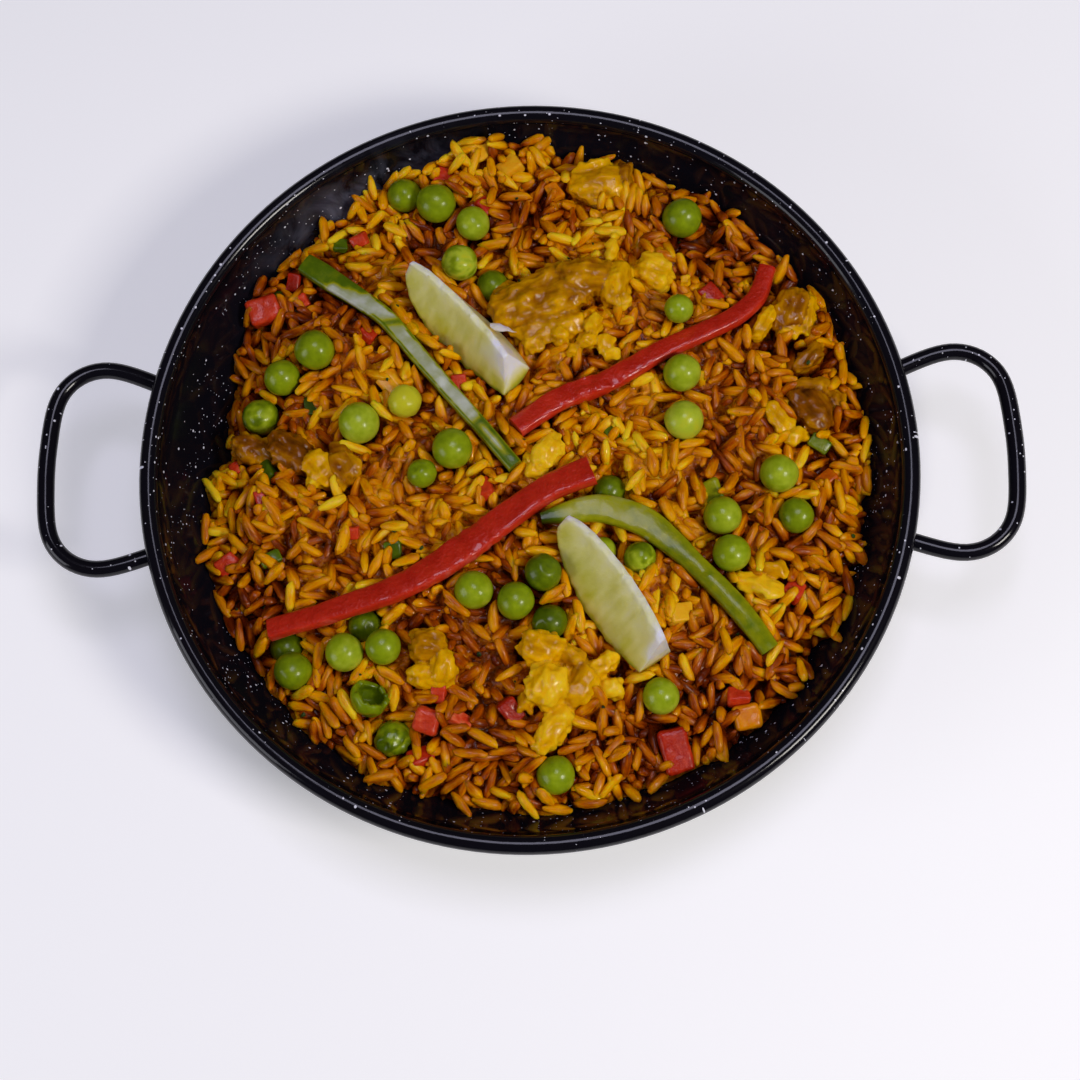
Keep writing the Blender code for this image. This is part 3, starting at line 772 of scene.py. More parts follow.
@dataclass
class Heap:
    """The levels of the rice, cell by cell: where it should reach, and where it has got to."""

    pan: Pan
    cell: float = 0.5
    half: float = 97.0
    coarse: float = 1.5
    fill_rounds: int = 300
    loose_depth: float = 5.0  # how deep the loose grains lie
    ripple: float = 1.3
    ripple_size: float = 7.0
    swell_size: float = 16.0
    ragged: float = 3.0  # how far the heap's edge comes and goes
    patch_depth: float = 2.1  # how much less golden the rice is in the middle of a patch
    # Patches where the rice is made darker and less golden: X, Y and reach.
    dark_patches: tuple[Triple, ...] = (
        (-62, 41, 17), (-70, 20, 10), (-26, 73, 9), (2, 66, 10), (44, 68, 9), (18, 29, 10), (-30, 7, 8),
        (-4, -29, 12), (-22, -41, 12), (-74, -38, 8), (-16, -60, 11), (-74, 52, 9), (50, 0, 8),
    )

    def __post_init__(self) -> None:
        """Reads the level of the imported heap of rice."""
        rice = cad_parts["rice"]
        others = [o for n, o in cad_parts.items() if n not in ("rice", "pan")]
        level, known = self.read_level(rice, others)
        self.level_coarse = self.fill_sockets(level, known)
        axis = np.arange(-self.half, self.half + self.cell / 2, self.cell)
        self.x, self.y = np.meshgrid(axis, axis, indexing="ij")
        radius = np.hypot(self.x, self.y)
        self.level = self.read(self.level_coarse, self.coarse, self.x, self.y)
        self.here = self.level > 0
        self.flat = np.stack([self.x, self.y, np.zeros_like(self.x)], -1).reshape(-1, 3)
        ripple = noise(self.flat, self.ripple_size, 3)
        ripple += 1.1 * noise(self.flat, self.swell_size, 4)
        self.target = self.level + self.ripple * ripple.reshape(self.x.shape)
        edge = noise(self.flat, 8.0, 5) + 0.7 * noise(self.flat, 4.5, 6)
        rim = clamp((radius - 72.0) / 10.0)
        self.target += self.ragged * edge.reshape(self.x.shape) * rim
        wall = (radius - self.pan.wall_radius(0.0, self.pan.sheet)) * math.tan(self.pan.slope)
        self.wall = np.maximum(wall, self.pan.sheet)

    def read_level(self, rice: Object, others: list[Object]) -> tuple[Array, Array]:
        """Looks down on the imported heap, cell by cell.

        Args:
            rice: The heap's solid.
            others: The toppings' solids.

        Returns:
            The heap's level, 0 where there is none, and whether it shows from above.
        """
        heap_tree = tree_of([rice])
        other_tree = tree_of(others)
        axis = np.arange(-self.half, self.half + self.coarse / 2, self.coarse)
        level = np.zeros((len(axis), len(axis)))
        known = np.ones_like(level, bool)
        for i, j in itertools.product(range(len(axis)), repeat=2):
            above = Vector((axis[i], axis[j], ABOVE))
            hit = heap_tree.ray_cast(above, DOWN)[0]
            if hit is None:
                continue
            level[i, j] = hit.z
            known[i, j] = other_tree.ray_cast(above, DOWN)[0] is None
        return level, known

    def fill_sockets(self, level: Array, known: Array) -> Array:
        """Levels the heap over the sockets of its toppings.

        Args:
            level: The heap's level, cell by cell.
            known: Where it shows from above.

        Returns:
            The level as it would be with no topping.
        """
        rice = level > 0
        blank = ~known & rice
        filled = np.where(blank, level[known & rice].mean(), level)
        for _ in range(self.fill_rounds):
            total = np.zeros_like(filled)
            count = np.zeros_like(filled)
            for axis, step in itertools.product((0, 1), (-1, 1)):
                total += np.roll(np.where(rice, filled, 0.0), step, axis)
                count += np.roll(rice, step, axis)
            filled = np.where(blank, total / np.maximum(count, 1), filled)
        return filled

    def read(self, grid: Array, cell: float, x: Array, y: Array) -> Array:
        """Reads a grid between its cells, and gives 0 off the rice.

        Args:
            grid: Levels, cell by cell.
            cell: How wide its cells are.
            x: Places to the right of the centre.
            y: Places beyond it.

        Returns:
            The level at each place.
        """
        u = np.clip((x + self.half) / cell, 0, grid.shape[0] - 1.001)
        v = np.clip((y + self.half) / cell, 0, grid.shape[1] - 1.001)
        i, j = u.astype(int), v.astype(int)
        s, t = u - i, v - j
        corners = [grid[i, j], grid[i + 1, j], grid[i, j + 1], grid[i + 1, j + 1]]
        weights = [(1 - s) * (1 - t), s * (1 - t), (1 - s) * t, s * t]
        share = sum(w * (c > 0) for c, w in zip(corners, weights))
        total = sum(w * c for c, w in zip(corners, weights))
        return np.where(share > 0.5, total / np.maximum(share, 0.01), 0.0)

    def level_at(self, x: float, y: float) -> float:
        """The rice's level at one place."""
        return float(self.read(self.level_coarse, self.coarse, np.array(x), np.array(y)))

    def index(self, value: Array | float) -> Array | int:
        """The number of the cell that holds a place."""
        return ((np.asarray(value) + self.half) / self.cell + 0.5).astype(int)

    def spread_low(self, field: Array, reach: float) -> Array:
        """The lowest value of a field within a distance along X and Y."""
        steps = int(reach / self.cell)
        for axis in (0, 1):
            field = np.minimum.reduce([np.roll(field, s, axis) for s in range(-steps, steps + 1)])
        return field

    def rise_of(self, points: Array) -> Array:
        """How far points lie over the level that the rice should reach."""
        last = len(self.target) - 1
        cells = (self.index(points[:, axis]).clip(0, last) for axis in (0, 1))
        return points[:, 2] - self.target[tuple(cells)]

    def shade_and_stain(self, points: Array) -> Array:
        """How golden the rice is from place to place: a random drift, darker patches, and painted shade
        towards the near edge, the right and the left.

        Args:
            points: Places, one row each.

        Returns:
            One value for each, about 0 in most places.
        """
        # Painted shade: the rice is made less golden towards the near edge, the right and the left.
        near = clamp((-38.0 - points[:, 1]) / 35.0)
        right = clamp((points[:, 0] - 35.0) / 30.0)
        left = clamp((-points[:, 0] - 40.0) / 30.0)
        drift = noise(points * (1.0, 1.0, 0.0), 22.0, 32)
        total = drift - 1.5 * near - 1.0 * right - 0.5 * left
        for x, y, reach in self.dark_patches:
            away = np.hypot(points[:, 0] - x, points[:, 1] - y)
            total -= self.patch_depth * hump(away, reach)
        return total

    def lay_bed(self, firm: BVHTree, soft: BVHTree) -> None:
        """Finds where the toppings lie, and sets the bed that the loose grains fall on.

        Args:
            firm: The toppings that grains keep off.
            soft: The torn and diced ones, which grains lie against and lap over.
        """
        self.lid = np.zeros_like(self.level)
        self.under = np.full_like(self.level, ABOVE)
        ground = np.zeros_like(self.level)
        for i, j in itertools.product(range(0, len(self.lid), 2), repeat=2):
            if not self.here[i, j]:
                continue
            x, y = self.x[i, j], self.y[i, j]
            block = (slice(i, i + 2), slice(j, j + 2))
            for tree, tops in ((firm, self.lid), (soft, ground)):
                top = tree.ray_cast(Vector((x, y, ABOVE)), DOWN)[0]
                if top is not None:
                    tops[block] = top.z
                    low = tree.ray_cast(Vector((x, y, BELOW)), UP)[0].z
                    self.under[block] = np.minimum(self.under[block], low)
        bed = np.where(self.here, self.level - self.loose_depth, 0.0)
        bed = np.minimum(self.spread_low(bed, 3.0), self.spread_low(self.under, 1.5) - 1.0)
        self.bed = np.maximum(bed, 3.0)
        self.height = np.maximum.reduce([np.where(self.here, self.bed, 0.0), self.wall, ground])

    def mash(self, below: Array, lap: float) -> Array:
        """The level of the broth and broken rice that hold the grains together.

        Args:
            below: How far under the grains' smoothed tops it stays, cell by cell.
            lap: How far it comes up round the toppings.

        Returns:
            Its level, cell by cell.
        """
        smooth = self.height
        for axis, step in itertools.product((0, 1), (1, 2, 3)):
            smooth = (np.roll(smooth, step, axis) + smooth + np.roll(smooth, -step, axis)) / 3
        level = np.minimum(smooth, self.height + 0.6) - below
        level = np.minimum(level, self.spread_low(self.under, 0.5) + lap)
        return np.where(self.here, np.maximum(level, self.bed), self.bed)


def tree_of(pieces: Sequence[Object]) -> BVHTree:
    """A search tree, in millimetres, over the faces of some mesh objects.

    Args:
        pieces: The objects.

    Returns:
        The tree.
    """
    points: list[Vector] = []
    faces: list[tuple[int, ...]] = []
    for piece in pieces:
        start = len(points)
        points.extend(Vector(p) for p in points_of(piece))
        faces.extend(tuple(start + v for v in polygon.vertices) for polygon in piece.data.polygons)
    return BVHTree.FromPolygons(points, faces)


@dataclass
class Grain:
    """Where one grain of rice lies, and how."""

    place: Array
    yaw: float
    slope: float
    length: float
    width: float
    shape: int
    tone: float


@dataclass
class Rice:
    """Loose grains dropped one by one on a bed, each where the heap is lowest, and the mash between them."""

    heap: Heap
    firm: BVHTree
    most: int = 3500
    length: tuple[float, float] = (6.8, 9.8)
    width: tuple[float, float] = (2.4, 3.15)
    broken_share: float = 0.16
    flatness: float = 0.86  # thickness over width
    sink: float = 0.75  # how far grains press into each other
    squeeze: float = 1.1  # how much further one is pressed down, so as not to stand proud
    proud: tuple[float, ...] = (0.2, 0.6, 1.0, 1.5, 2.8)  # how far tops may stand over the heap's level
    clearance: float = 0.45  # how much less than its half width a grain keeps from a topping
    overlap: float = 0.1  # share of a grain that may lie on a topping
    gentle: float = 0.5  # most grains' steepest slope
    steep: float = 1.1
    steep_share: float = 0.42
    on_wall: float = 1.3  # the steepest slope where a grain leans on the pan's wall
    broken_length: tuple[float, float] = (2.8, 5.4)
    turns: tuple[float, ...] = (0.0, 0.5, -0.5, 1.1, -1.1, 1.57)  # what a grain tries, in radians
    tries: int = 24  # spots that are looked at for each grain
    least_room: float = 0.8  # how far under its level the heap must be for another grain
    patience: int = 200  # full spots in a row that end the dropping
    mash_columns: int = 480
    mash_rings: int = 130
    mash_lumps: float = 0.55  # height of the mash's lumps
    # How far each kind of grain bends, in degrees, how much thinner one end is, and how full its ends are.
    kinds: tuple[Triple, ...] = (
        (3.0, 0.15, 3.4), (18.0, 0.28, 2.2), (-24.0, -0.22, 2.8), (38.0, 0.1, 3.0), (10.0, -0.45, 2.0),
        (-8.0, 0.5, 1.8), (24.0, -0.1, 3.8), (-14.0, 0.1, 1.6),
    )
    grains: list[Grain] = field(default_factory=list)

    def build(self) -> None:
        """Drops and joins the grains, then fills in the mash."""
        self.drop_all()
        whole = [g for g in self.grains if g.length >= self.length[0]]
        middle = sorted(g.length for g in whole)[len(whole) // 2]
        self.join("long_rice_grains", [g for g in whole if g.length >= middle], 7)
        self.join("short_rice_grains", [g for g in whole if g.length < middle], 7)
        self.join("broken_rice_grains", [g for g in self.grains if g.length < self.length[0]], 6)
        self.build_mash()

    def build_mash(self) -> None:
        """The pressed rice and broth under the grains, which fill the pan."""
        heap, pan = self.heap, self.heap.pan
        loose = noise(heap.flat, 9.0, 24) + 0.5 * noise(heap.flat, 4.0, 25)
        edge = clamp((np.hypot(heap.x, heap.y) - 68.0) / 8.0)
        level = heap.mash(0.85 + 0.55 * loose.reshape(heap.x.shape) + 1.4 * edge, 0.9)
        columns = self.mash_columns
        angles = np.linspace(0.0, math.tau, columns, endpoint=False)
        cosines, sines = np.cos(angles), np.sin(angles)
        gap = pan.sheet + 0.3
        reach = np.zeros(columns)
        rise = np.zeros(columns)
        for radius in np.arange(60.0, 95.0, 0.5):
            cells = heap.index(radius * cosines), heap.index(radius * sines)
            inside = level[cells] > heap.wall[cells] + 1.0
            reach = np.where(inside, radius, reach)
            rise = np.where(inside, level[cells], rise)
        rows = []
        for radius, height in pan.corner(gap)[:-1]:
            rows.append(np.stack([radius * cosines, radius * sines, np.full(columns, height)], 1))
        wall_low = pan.corner(gap)[-1][1]
        for share in (0.0, 0.5, 1.0):
            height = wall_low + (rise - wall_low) * share
            radius = pan.wall_radius(height, gap)
            rows.append(np.stack([radius * cosines, radius * sines, height], 1))
        for share in np.linspace(0.99, 0.01, self.mash_rings):
            x, y = reach * share * cosines, reach * share * sines
            rows.append(np.stack([x, y, heap.read(level, heap.cell, x, y)], 1))
        points = np.concatenate(rows)
        count = len(points)
        centre = level[heap.index(0.0), heap.index(0.0)]
        points = np.concatenate([points, [(0, 0, gap), (0, 0, centre)]])
        faces = grid_faces(len(rows), columns, True) + end_faces(len(rows), columns)
        mash = new_piece("rice_mash", points, faces)
        lumps = noise(points, 2.0, 21) + 0.6 * noise(points, 4.6, 22)
        top = np.arange(len(points)) >= count - self.mash_rings * columns
        move_points(mash, points + (top * self.mash_lumps * lumps)[:, None] * (0.0, 0.0, 1.0))
        patches = noise(points, 7.0, 23)
        rise = heap.rise_of(points).clip(-4.0, 1.0)
        # Partly broth and partly painted shade: the lower a point lies under the heap's level, the browner
        # and darker it is made.
        set_attribute(mash, "tone", 0.62 + 0.14 * rise + 0.1 * patches + 0.15 * heap.shade_and_stain(points))
        finish_piece(mash, RICE_MASH, "rice")

    def drop_all(self) -> None:
        """Drops grains until the heap is full."""
        heap = self.heap
        rng = np.random.default_rng(11)
        cells = np.argwhere(heap.here)
        shut = np.zeros(heap.here.shape, bool)
        spots = np.array([(heap.x[i, j], heap.y[i, j], 0.0) for i, j in cells])
        drift = noise(spots, 9.0, 31) * math.pi
        shade_and_stain = heap.shade_and_stain(spots)
        idle = 0
        while len(self.grains) < self.most and idle < self.patience:
            tries = rng.integers(0, len(cells), self.tries)
            i, j = cells[tries].T
            want = np.where(shut[i, j], 0.0, heap.target[i, j] - heap.height[i, j])
            best = int(np.argmax(want))
            if want[best] < self.least_room:
                idle += 1
                continue
            spot = tries[best]
            x, y = spots[spot, :2] + rng.uniform(-0.25, 0.25, 2)
            yaw = drift[spot] + rng.normal(0.0, 1.2)
            tone = 0.44 + 0.13 * rng.normal() + 0.16 * shade_and_stain[spot]
            if self.drop(x, y, yaw, tone, rng):
                idle = 0
            else:
                shut[i[best] - 1 : i[best] + 2, j[best] - 1 : j[best] + 2] = True
        LOG.info("%d grains dropped", len(self.grains))

    def drop(self, x: float, y: float, yaw: float, tone: float, rng: np.random.Generator) -> bool:
        """Lets one grain settle, if it finds room beside the toppings and under the heap's level.

        Args:
            x: Its place to the right of the centre.
            y: Its place beyond the centre.
            yaw: Its heading in radians.
            tone: How golden it is.
            rng: The source of its shape.

        Returns:
            Whether it lies.
        """
        heap = self.heap
        broken = rng.random() < self.broken_share
        length = rng.uniform(*(self.broken_length if broken else self.length))
        width = rng.uniform(*self.width)
        limit = self.steep if rng.random() < self.steep_share else self.gentle
        proud = rng.choice(self.proud)
        grain = Grain(np.zeros(3), yaw, 0.0, length, width, int(rng.integers(len(self.kinds))), tone)
        for turn in self.turns:
            grain.yaw = yaw + turn
            grain.place[:2] = x, y
            for _ in range(3):
                self.settle(grain, limit)
                push = self.blocked(grain)
                if push is None:
                    break
                grain.place[:2] += push
            cell = int(heap.index(grain.place[0])), int(heap.index(grain.place[1]))
            top = grain.place[2] + self.flatness * width / 2
            over = top - heap.target[cell] - proud
            if push is not None or over > self.squeeze:
                continue
            grain.place[2] -= max(over, 0.0)
            if self.press(grain):
                self.grains.append(grain)
                return True
        return False

    def footprint(self, grain: Grain) -> tuple[tuple[slice, slice], Array, Array, Array]:
        """The cells under a grain.

        Args:
            grain: The grain where it lies.

        Returns:
            The block of cells, each cell's distance along the grain, half the grain's thickness there, and
            whether the grain covers it.
        """
        heap = self.heap
        x, y = grain.place[:2]
        reach = int(grain.length / 2 / heap.cell) + 2
        i, j = int(heap.index(x)), int(heap.index(y))
        block = (slice(i - reach, i + reach + 1), slice(j - reach, j + reach + 1))
        dx, dy = heap.x[block] - x, heap.y[block] - y
        along = dx * math.cos(grain.yaw) + dy * math.sin(grain.yaw)
        across = dy * math.cos(grain.yaw) - dx * math.sin(grain.yaw)
        level = 1.0 / math.hypot(1.0, grain.slope)
        ends = np.abs(along / (grain.length / 2 * level)) ** 3.0
        room = 1.0 - ends - (across / (grain.width / 2)) ** 2
        half = self.flatness * grain.width / 2 / level * np.sqrt(np.maximum(room, 0.0))
        return block, along, half, room > 0.0

    def settle(self, grain: Grain, limit: float) -> None:
        """Finds how a grain comes to rest, and sets its slope and its height.

        Args:
            grain: The grain.
            limit: Its steepest slope.
        """
        heap = self.heap
        grain.slope = 0.0
        block, along, _, covered = self.footprint(grain)
        ground = heap.height[block]
        ends = []
        for side in (1.0, -1.0):
            end = covered & (along * side > grain.length * 0.12)
            heights = np.sort(ground[end])
            ends.append((heights[int(len(heights) * 0.75)], along[end].mean()))
        slope = (ends[0][0] - ends[1][0]) / (ends[0][1] - ends[1][1])
        if heap.wall[block][covered].max() > heap.bed[block].max() - 4.0:
            limit = self.on_wall
        grain.slope = float(np.clip(slope, -limit, limit))
        block, along, half, covered = self.footprint(grain)
        rest = np.sort((heap.height[block] - grain.slope * along + half)[covered])
        wall = (heap.wall[block] - grain.slope * along + half)[covered].max()
        grain.place[2] = max(rest[int(len(rest) * 0.85)] - self.sink, wall + 0.15)

    def blocked(self, grain: Grain) -> Array | None:
        """Tests a grain against the firm toppings.

        Args:
            grain: The grain where it lies.

        Returns:
            None if it is clear, or else how far to move it sideways.
        """
        heading = np.array([math.cos(grain.yaw), math.sin(grain.yaw), grain.slope])
        heading /= math.hypot(1.0, grain.slope)
        keep = grain.width / 2 - self.clearance
        worst, push = 0.0, None
        for share in (-0.42, -0.2, 0.0, 0.2, 0.42):
            point = Vector(grain.place + heading * share * grain.length)
            near, normal, _, distance = self.firm.find_nearest(point, 6.0)
            if near is None:
                continue
            outside = (point - near).dot(normal) > 0
            lack = keep - distance if outside else keep + distance
            if lack > worst:
                worst = lack
                push = np.array([normal.x, normal.y]) * (lack + 0.1)
        return push

    def press(self, grain: Grain) -> bool:
        """Raises the heap by a grain, unless the grain would hide a topping.

        Args:
            grain: The grain where it lies.

        Returns:
            Whether it stays.
        """
        block, along, half, covered = self.footprint(grain)
        middle = grain.place[2] + grain.slope * along
        lid = self.heap.lid[block]
        hiding = covered & (lid > 0) & (middle > lid - 0.5)
        if hiding.sum() > self.overlap * covered.sum():
            return False
        ground = self.heap.height[block]
        self.heap.height[block] = np.where(covered, np.maximum(ground, middle + half), ground)
        return True

    def model_grain(self, sides: int, bend: float, taper: float, fullness: float) -> Array:
        """Models one grain as by hand, one unit long and one wide.

        Args:
            sides: How many sides it has round its length.
            bend: How far it curves, in degrees.
            taper: How much thinner one end is.
            fullness: How blunt its ends are, where 2 is an oval's.

        Returns:
            Its points.
        """
        bpy.ops.mesh.primitive_uv_sphere_add(
            segments=sides, ring_count=6, radius=0.5, rotation=(0.0, math.pi / 2, 0.0)
        )
        grain = bpy.context.object
        bpy.ops.object.transform_apply(location=False, rotation=True, scale=False)
        points = points_of(grain) * MM
        ends = np.abs(2 * points[:, 0])
        blunt = (1.0 - ends**fullness).clip(0.0) ** 0.5
        around = np.hypot(points[:, 1], points[:, 2])
        uneven = 1.0 + 0.24 * noise(points, 0.3, int(bend) + 60)
        points[:, 1:] *= (0.5 * blunt * uneven / np.maximum(around, 1e-6))[:, None]
        points[:, 1:] *= 1.0 + taper * points[:, :1]
        points[:, 0] *= np.where(ends > 0.99, 0.95, 1.0)
        move_points(grain, points / MM)
        bending = {"deform_method": "BEND", "deform_axis": "Z", "angle": math.radians(bend)}
        apply_modifier(grain, "SIMPLE_DEFORM", **bending)
        points = points_of(grain) * MM
        self.faces = [tuple(polygon.vertices) for polygon in grain.data.polygons]
        bpy.data.objects.remove(grain, do_unlink=True)
        return points

    def join(self, name: str, grains: list[Grain], sides: int) -> None:
        """Joins copies of the modelled grains into one mesh.

        Args:
            name: The piece's name.
            grains: The grains that it holds.
            sides: How many sides each has.
        """
        heap = self.heap
        rng = np.random.default_rng(len(grains))
        shapes = [self.model_grain(sides, *kind) for kind in self.kinds]
        size = len(shapes[0])
        points = np.empty((len(grains), size, 3))
        local = np.empty_like(points)
        tones = np.empty((len(grains), size))
        for number, grain in enumerate(grains):
            body = shapes[grain.shape] * (grain.length, grain.width, grain.width * self.flatness)
            roll = 0.5 * math.sin(rng.uniform(0.0, math.tau))
            turn = np.array(Euler((roll, -math.atan(grain.slope), grain.yaw)).to_matrix())
            points[number] = body @ turn.T + grain.place
            local[number] = (body + rng.uniform(-300, 300, 3)) * MM
            patches = 0.1 * noise(points[number], 2.6, 33)
            # Partly broth and partly painted shade: the lower a point lies under the heap's level, the
            # browner and darker it is made.
            tones[number] = grain.tone + 0.19 * heap.rise_of(points[number]).clip(-4.0, 1.6) + patches
        offsets = np.arange(len(grains)) * size
        faces = [tuple(v + start for v in face) for start in offsets.tolist() for face in self.faces]
        piece = new_piece(name, points.reshape(-1, 3), faces)
        set_attribute(piece, "grain", local.reshape(-1, 3))
        set_attribute(piece, "tone", tones.ravel())
        finish_piece(piece, RICE_GRAIN, "rice")


# --- peas


class PeaKind(Enum):
    """How a pea has come through the cooking, as the depth of its wrinkles and the size of its dent."""

    SMOOTH = (0.05, 0.0)
    DIMPLED = (0.1, 0.5)
    WRINKLED = (0.22, 0.25)
    CRUSHED = (0.75, 1.2)


@dataclass
class Peas:
    """Boiled peas, each a little out of round."""

    last: int = 36
    split: int = 35
    cad_flatness: float = 0.98
    usual_tone: float = 0.58
    kinds: dict[int, PeaKind] = field(
        default_factory=lambda: {
            **dict.fromkeys((4, 8, 10, 23), PeaKind.WRINKLED),
            **dict.fromkeys((12, 24, 27, 34), PeaKind.DIMPLED),
            36: PeaKind.CRUSHED,
        }
    )
    # The peas that are darker or paler than usual.
    tones: dict[int, float] = field(
        default_factory=lambda: {
            **{1: 0.46, 2: 0.42, 4: 0.5, 5: 0.35, 6: 0.47, 7: 0.5, 8: 0.3, 10: 0.95},
            **{11: 0.52, 12: 0.46, 13: 0.45, 14: 0.58, 16: 0.76, 18: 0.43, 21: 0.3, 23: 0.38},
            **{24: 0.28, 26: 0.48, 27: 0.22, 30: 0.43, 31: 0.24, 32: 0.62, 34: 0.3, 36: 0.22},
        }
    )

    def build(self) -> list[Object]:
        """Makes every pea and joins the whole ones.

        Returns:
            The new pieces.
        """
        whole = [n for n in range(1, self.last + 1) if n != self.split]
        joined = join_pieces("peas", [self.build_pea(number) for number in whole])
        finish_piece(joined, PEA_SKIN, *(f"pea_{n:02d}" for n in whole))
        return [joined, self.build_split()]

    def round_pea(self, number: int, name: str) -> tuple[Object, Vector]:
        """A ball at a pea's place.

        Args:
            number: The pea's number.
            name: The piece's name.

        Returns:
            The ball and its middle.
        """
        low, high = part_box(f"pea_{number:02d}")
        middle = (low + high) / 2 / MM
        radius = (high.z - low.z) / 2 / MM / self.cad_flatness
        bpy.ops.mesh.primitive_uv_sphere_add(
            segments=30, ring_count=20, radius=radius * MM, location=middle * MM,
            rotation=(0.7 * number, 0.4 * number, 1.3 * number),
        )
        ball = new_primitive()
        ball.name = name
        return ball, middle

    def build_pea(self, number: int) -> Object:
        """One whole pea, dented and wrinkled as its kind is.

        Args:
            number: The pea's number.

        Returns:
            Its mesh object.
        """
        ball, _ = self.round_pea(number, f"pea_{number}")
        wrinkle, dent = self.kinds.get(number, PeaKind.SMOOTH).value
        points = points_of(ball)
        outward = normals_of(ball)
        seed = 100 + number
        swell = 0.22 * noise(points, 4.0, seed)
        creases = 1.0 - np.abs(noise(points, 2.1, seed + 50)) * 2.0
        swell -= wrinkle * clamp(creases)
        rng = np.random.default_rng(seed)
        aim = Vector((rng.uniform(-0.6, 0.6), rng.uniform(-0.8, 0.3), 1.0)).normalized()
        facing = outward @ np.array(aim)
        swell -= dent * clamp((facing - 0.93) / 0.07)
        swell += 0.25 * dent * hump(facing - 0.9, 0.03)
        move_points(ball, points + outward * swell[:, None])
        tone = self.tones.get(number, self.usual_tone + 0.06 * math.sin(3.0 * number))
        # Painted light: the side of each pea that faces the main lamp, to the right, near and up, is made
        # lighter.
        painted_light = 0.22 * outward @ np.array([0.3, -0.3, 0.3]) - 0.04
        net = 0.12 * clamp(creases) * (0.3 + 3.0 * (wrinkle > 0.1))
        set_attribute(ball, "tone", tone + painted_light + net)
        return ball

    def build_split(self) -> Object:
        """The pea whose skin has burst open into a cup.

        Returns:
            Its mesh object.
        """
        ball, middle = self.round_pea(self.split, "split_pea")
        opening = np.array(Vector((0.45, 0.55, 0.7)).normalized())
        with editing(ball):
            bpy.ops.mesh.select_all(action="DESELECT")
        facing = normals_of(ball) @ opening
        for polygon in ball.data.polygons:
            polygon.select = all(facing[v] > 0.3 for v in polygon.vertices)
        choose(ball)
        bpy.ops.object.mode_set(mode="EDIT")
        bpy.ops.mesh.delete(type="FACE")
        bpy.ops.object.mode_set(mode="OBJECT")
        points = points_of(ball)
        ragged = 0.5 * noise(points, 2.5, 77)[:, None] * normals_of(ball)
        move_points(ball, points + ragged)
        apply_modifier(ball, "SOLIDIFY", thickness=1.5 * MM, offset=-1.0)
        apply_modifier(ball, "SUBSURF", levels=1, render_levels=1)
        points = points_of(ball)
        depth = np.linalg.norm(points - np.array(middle), axis=1)
        # Painted shade: tone rises with distance from the middle, so the inside of the burst cup is darker
        # than its outside.
        set_attribute(ball, "tone", np.clip(0.25 + 0.11 * (depth - 3.0), 0.2, 0.8))
        return finish_piece(ball, PEA_SKIN, f"pea_{self.split:02d}")


# --- pepper strips


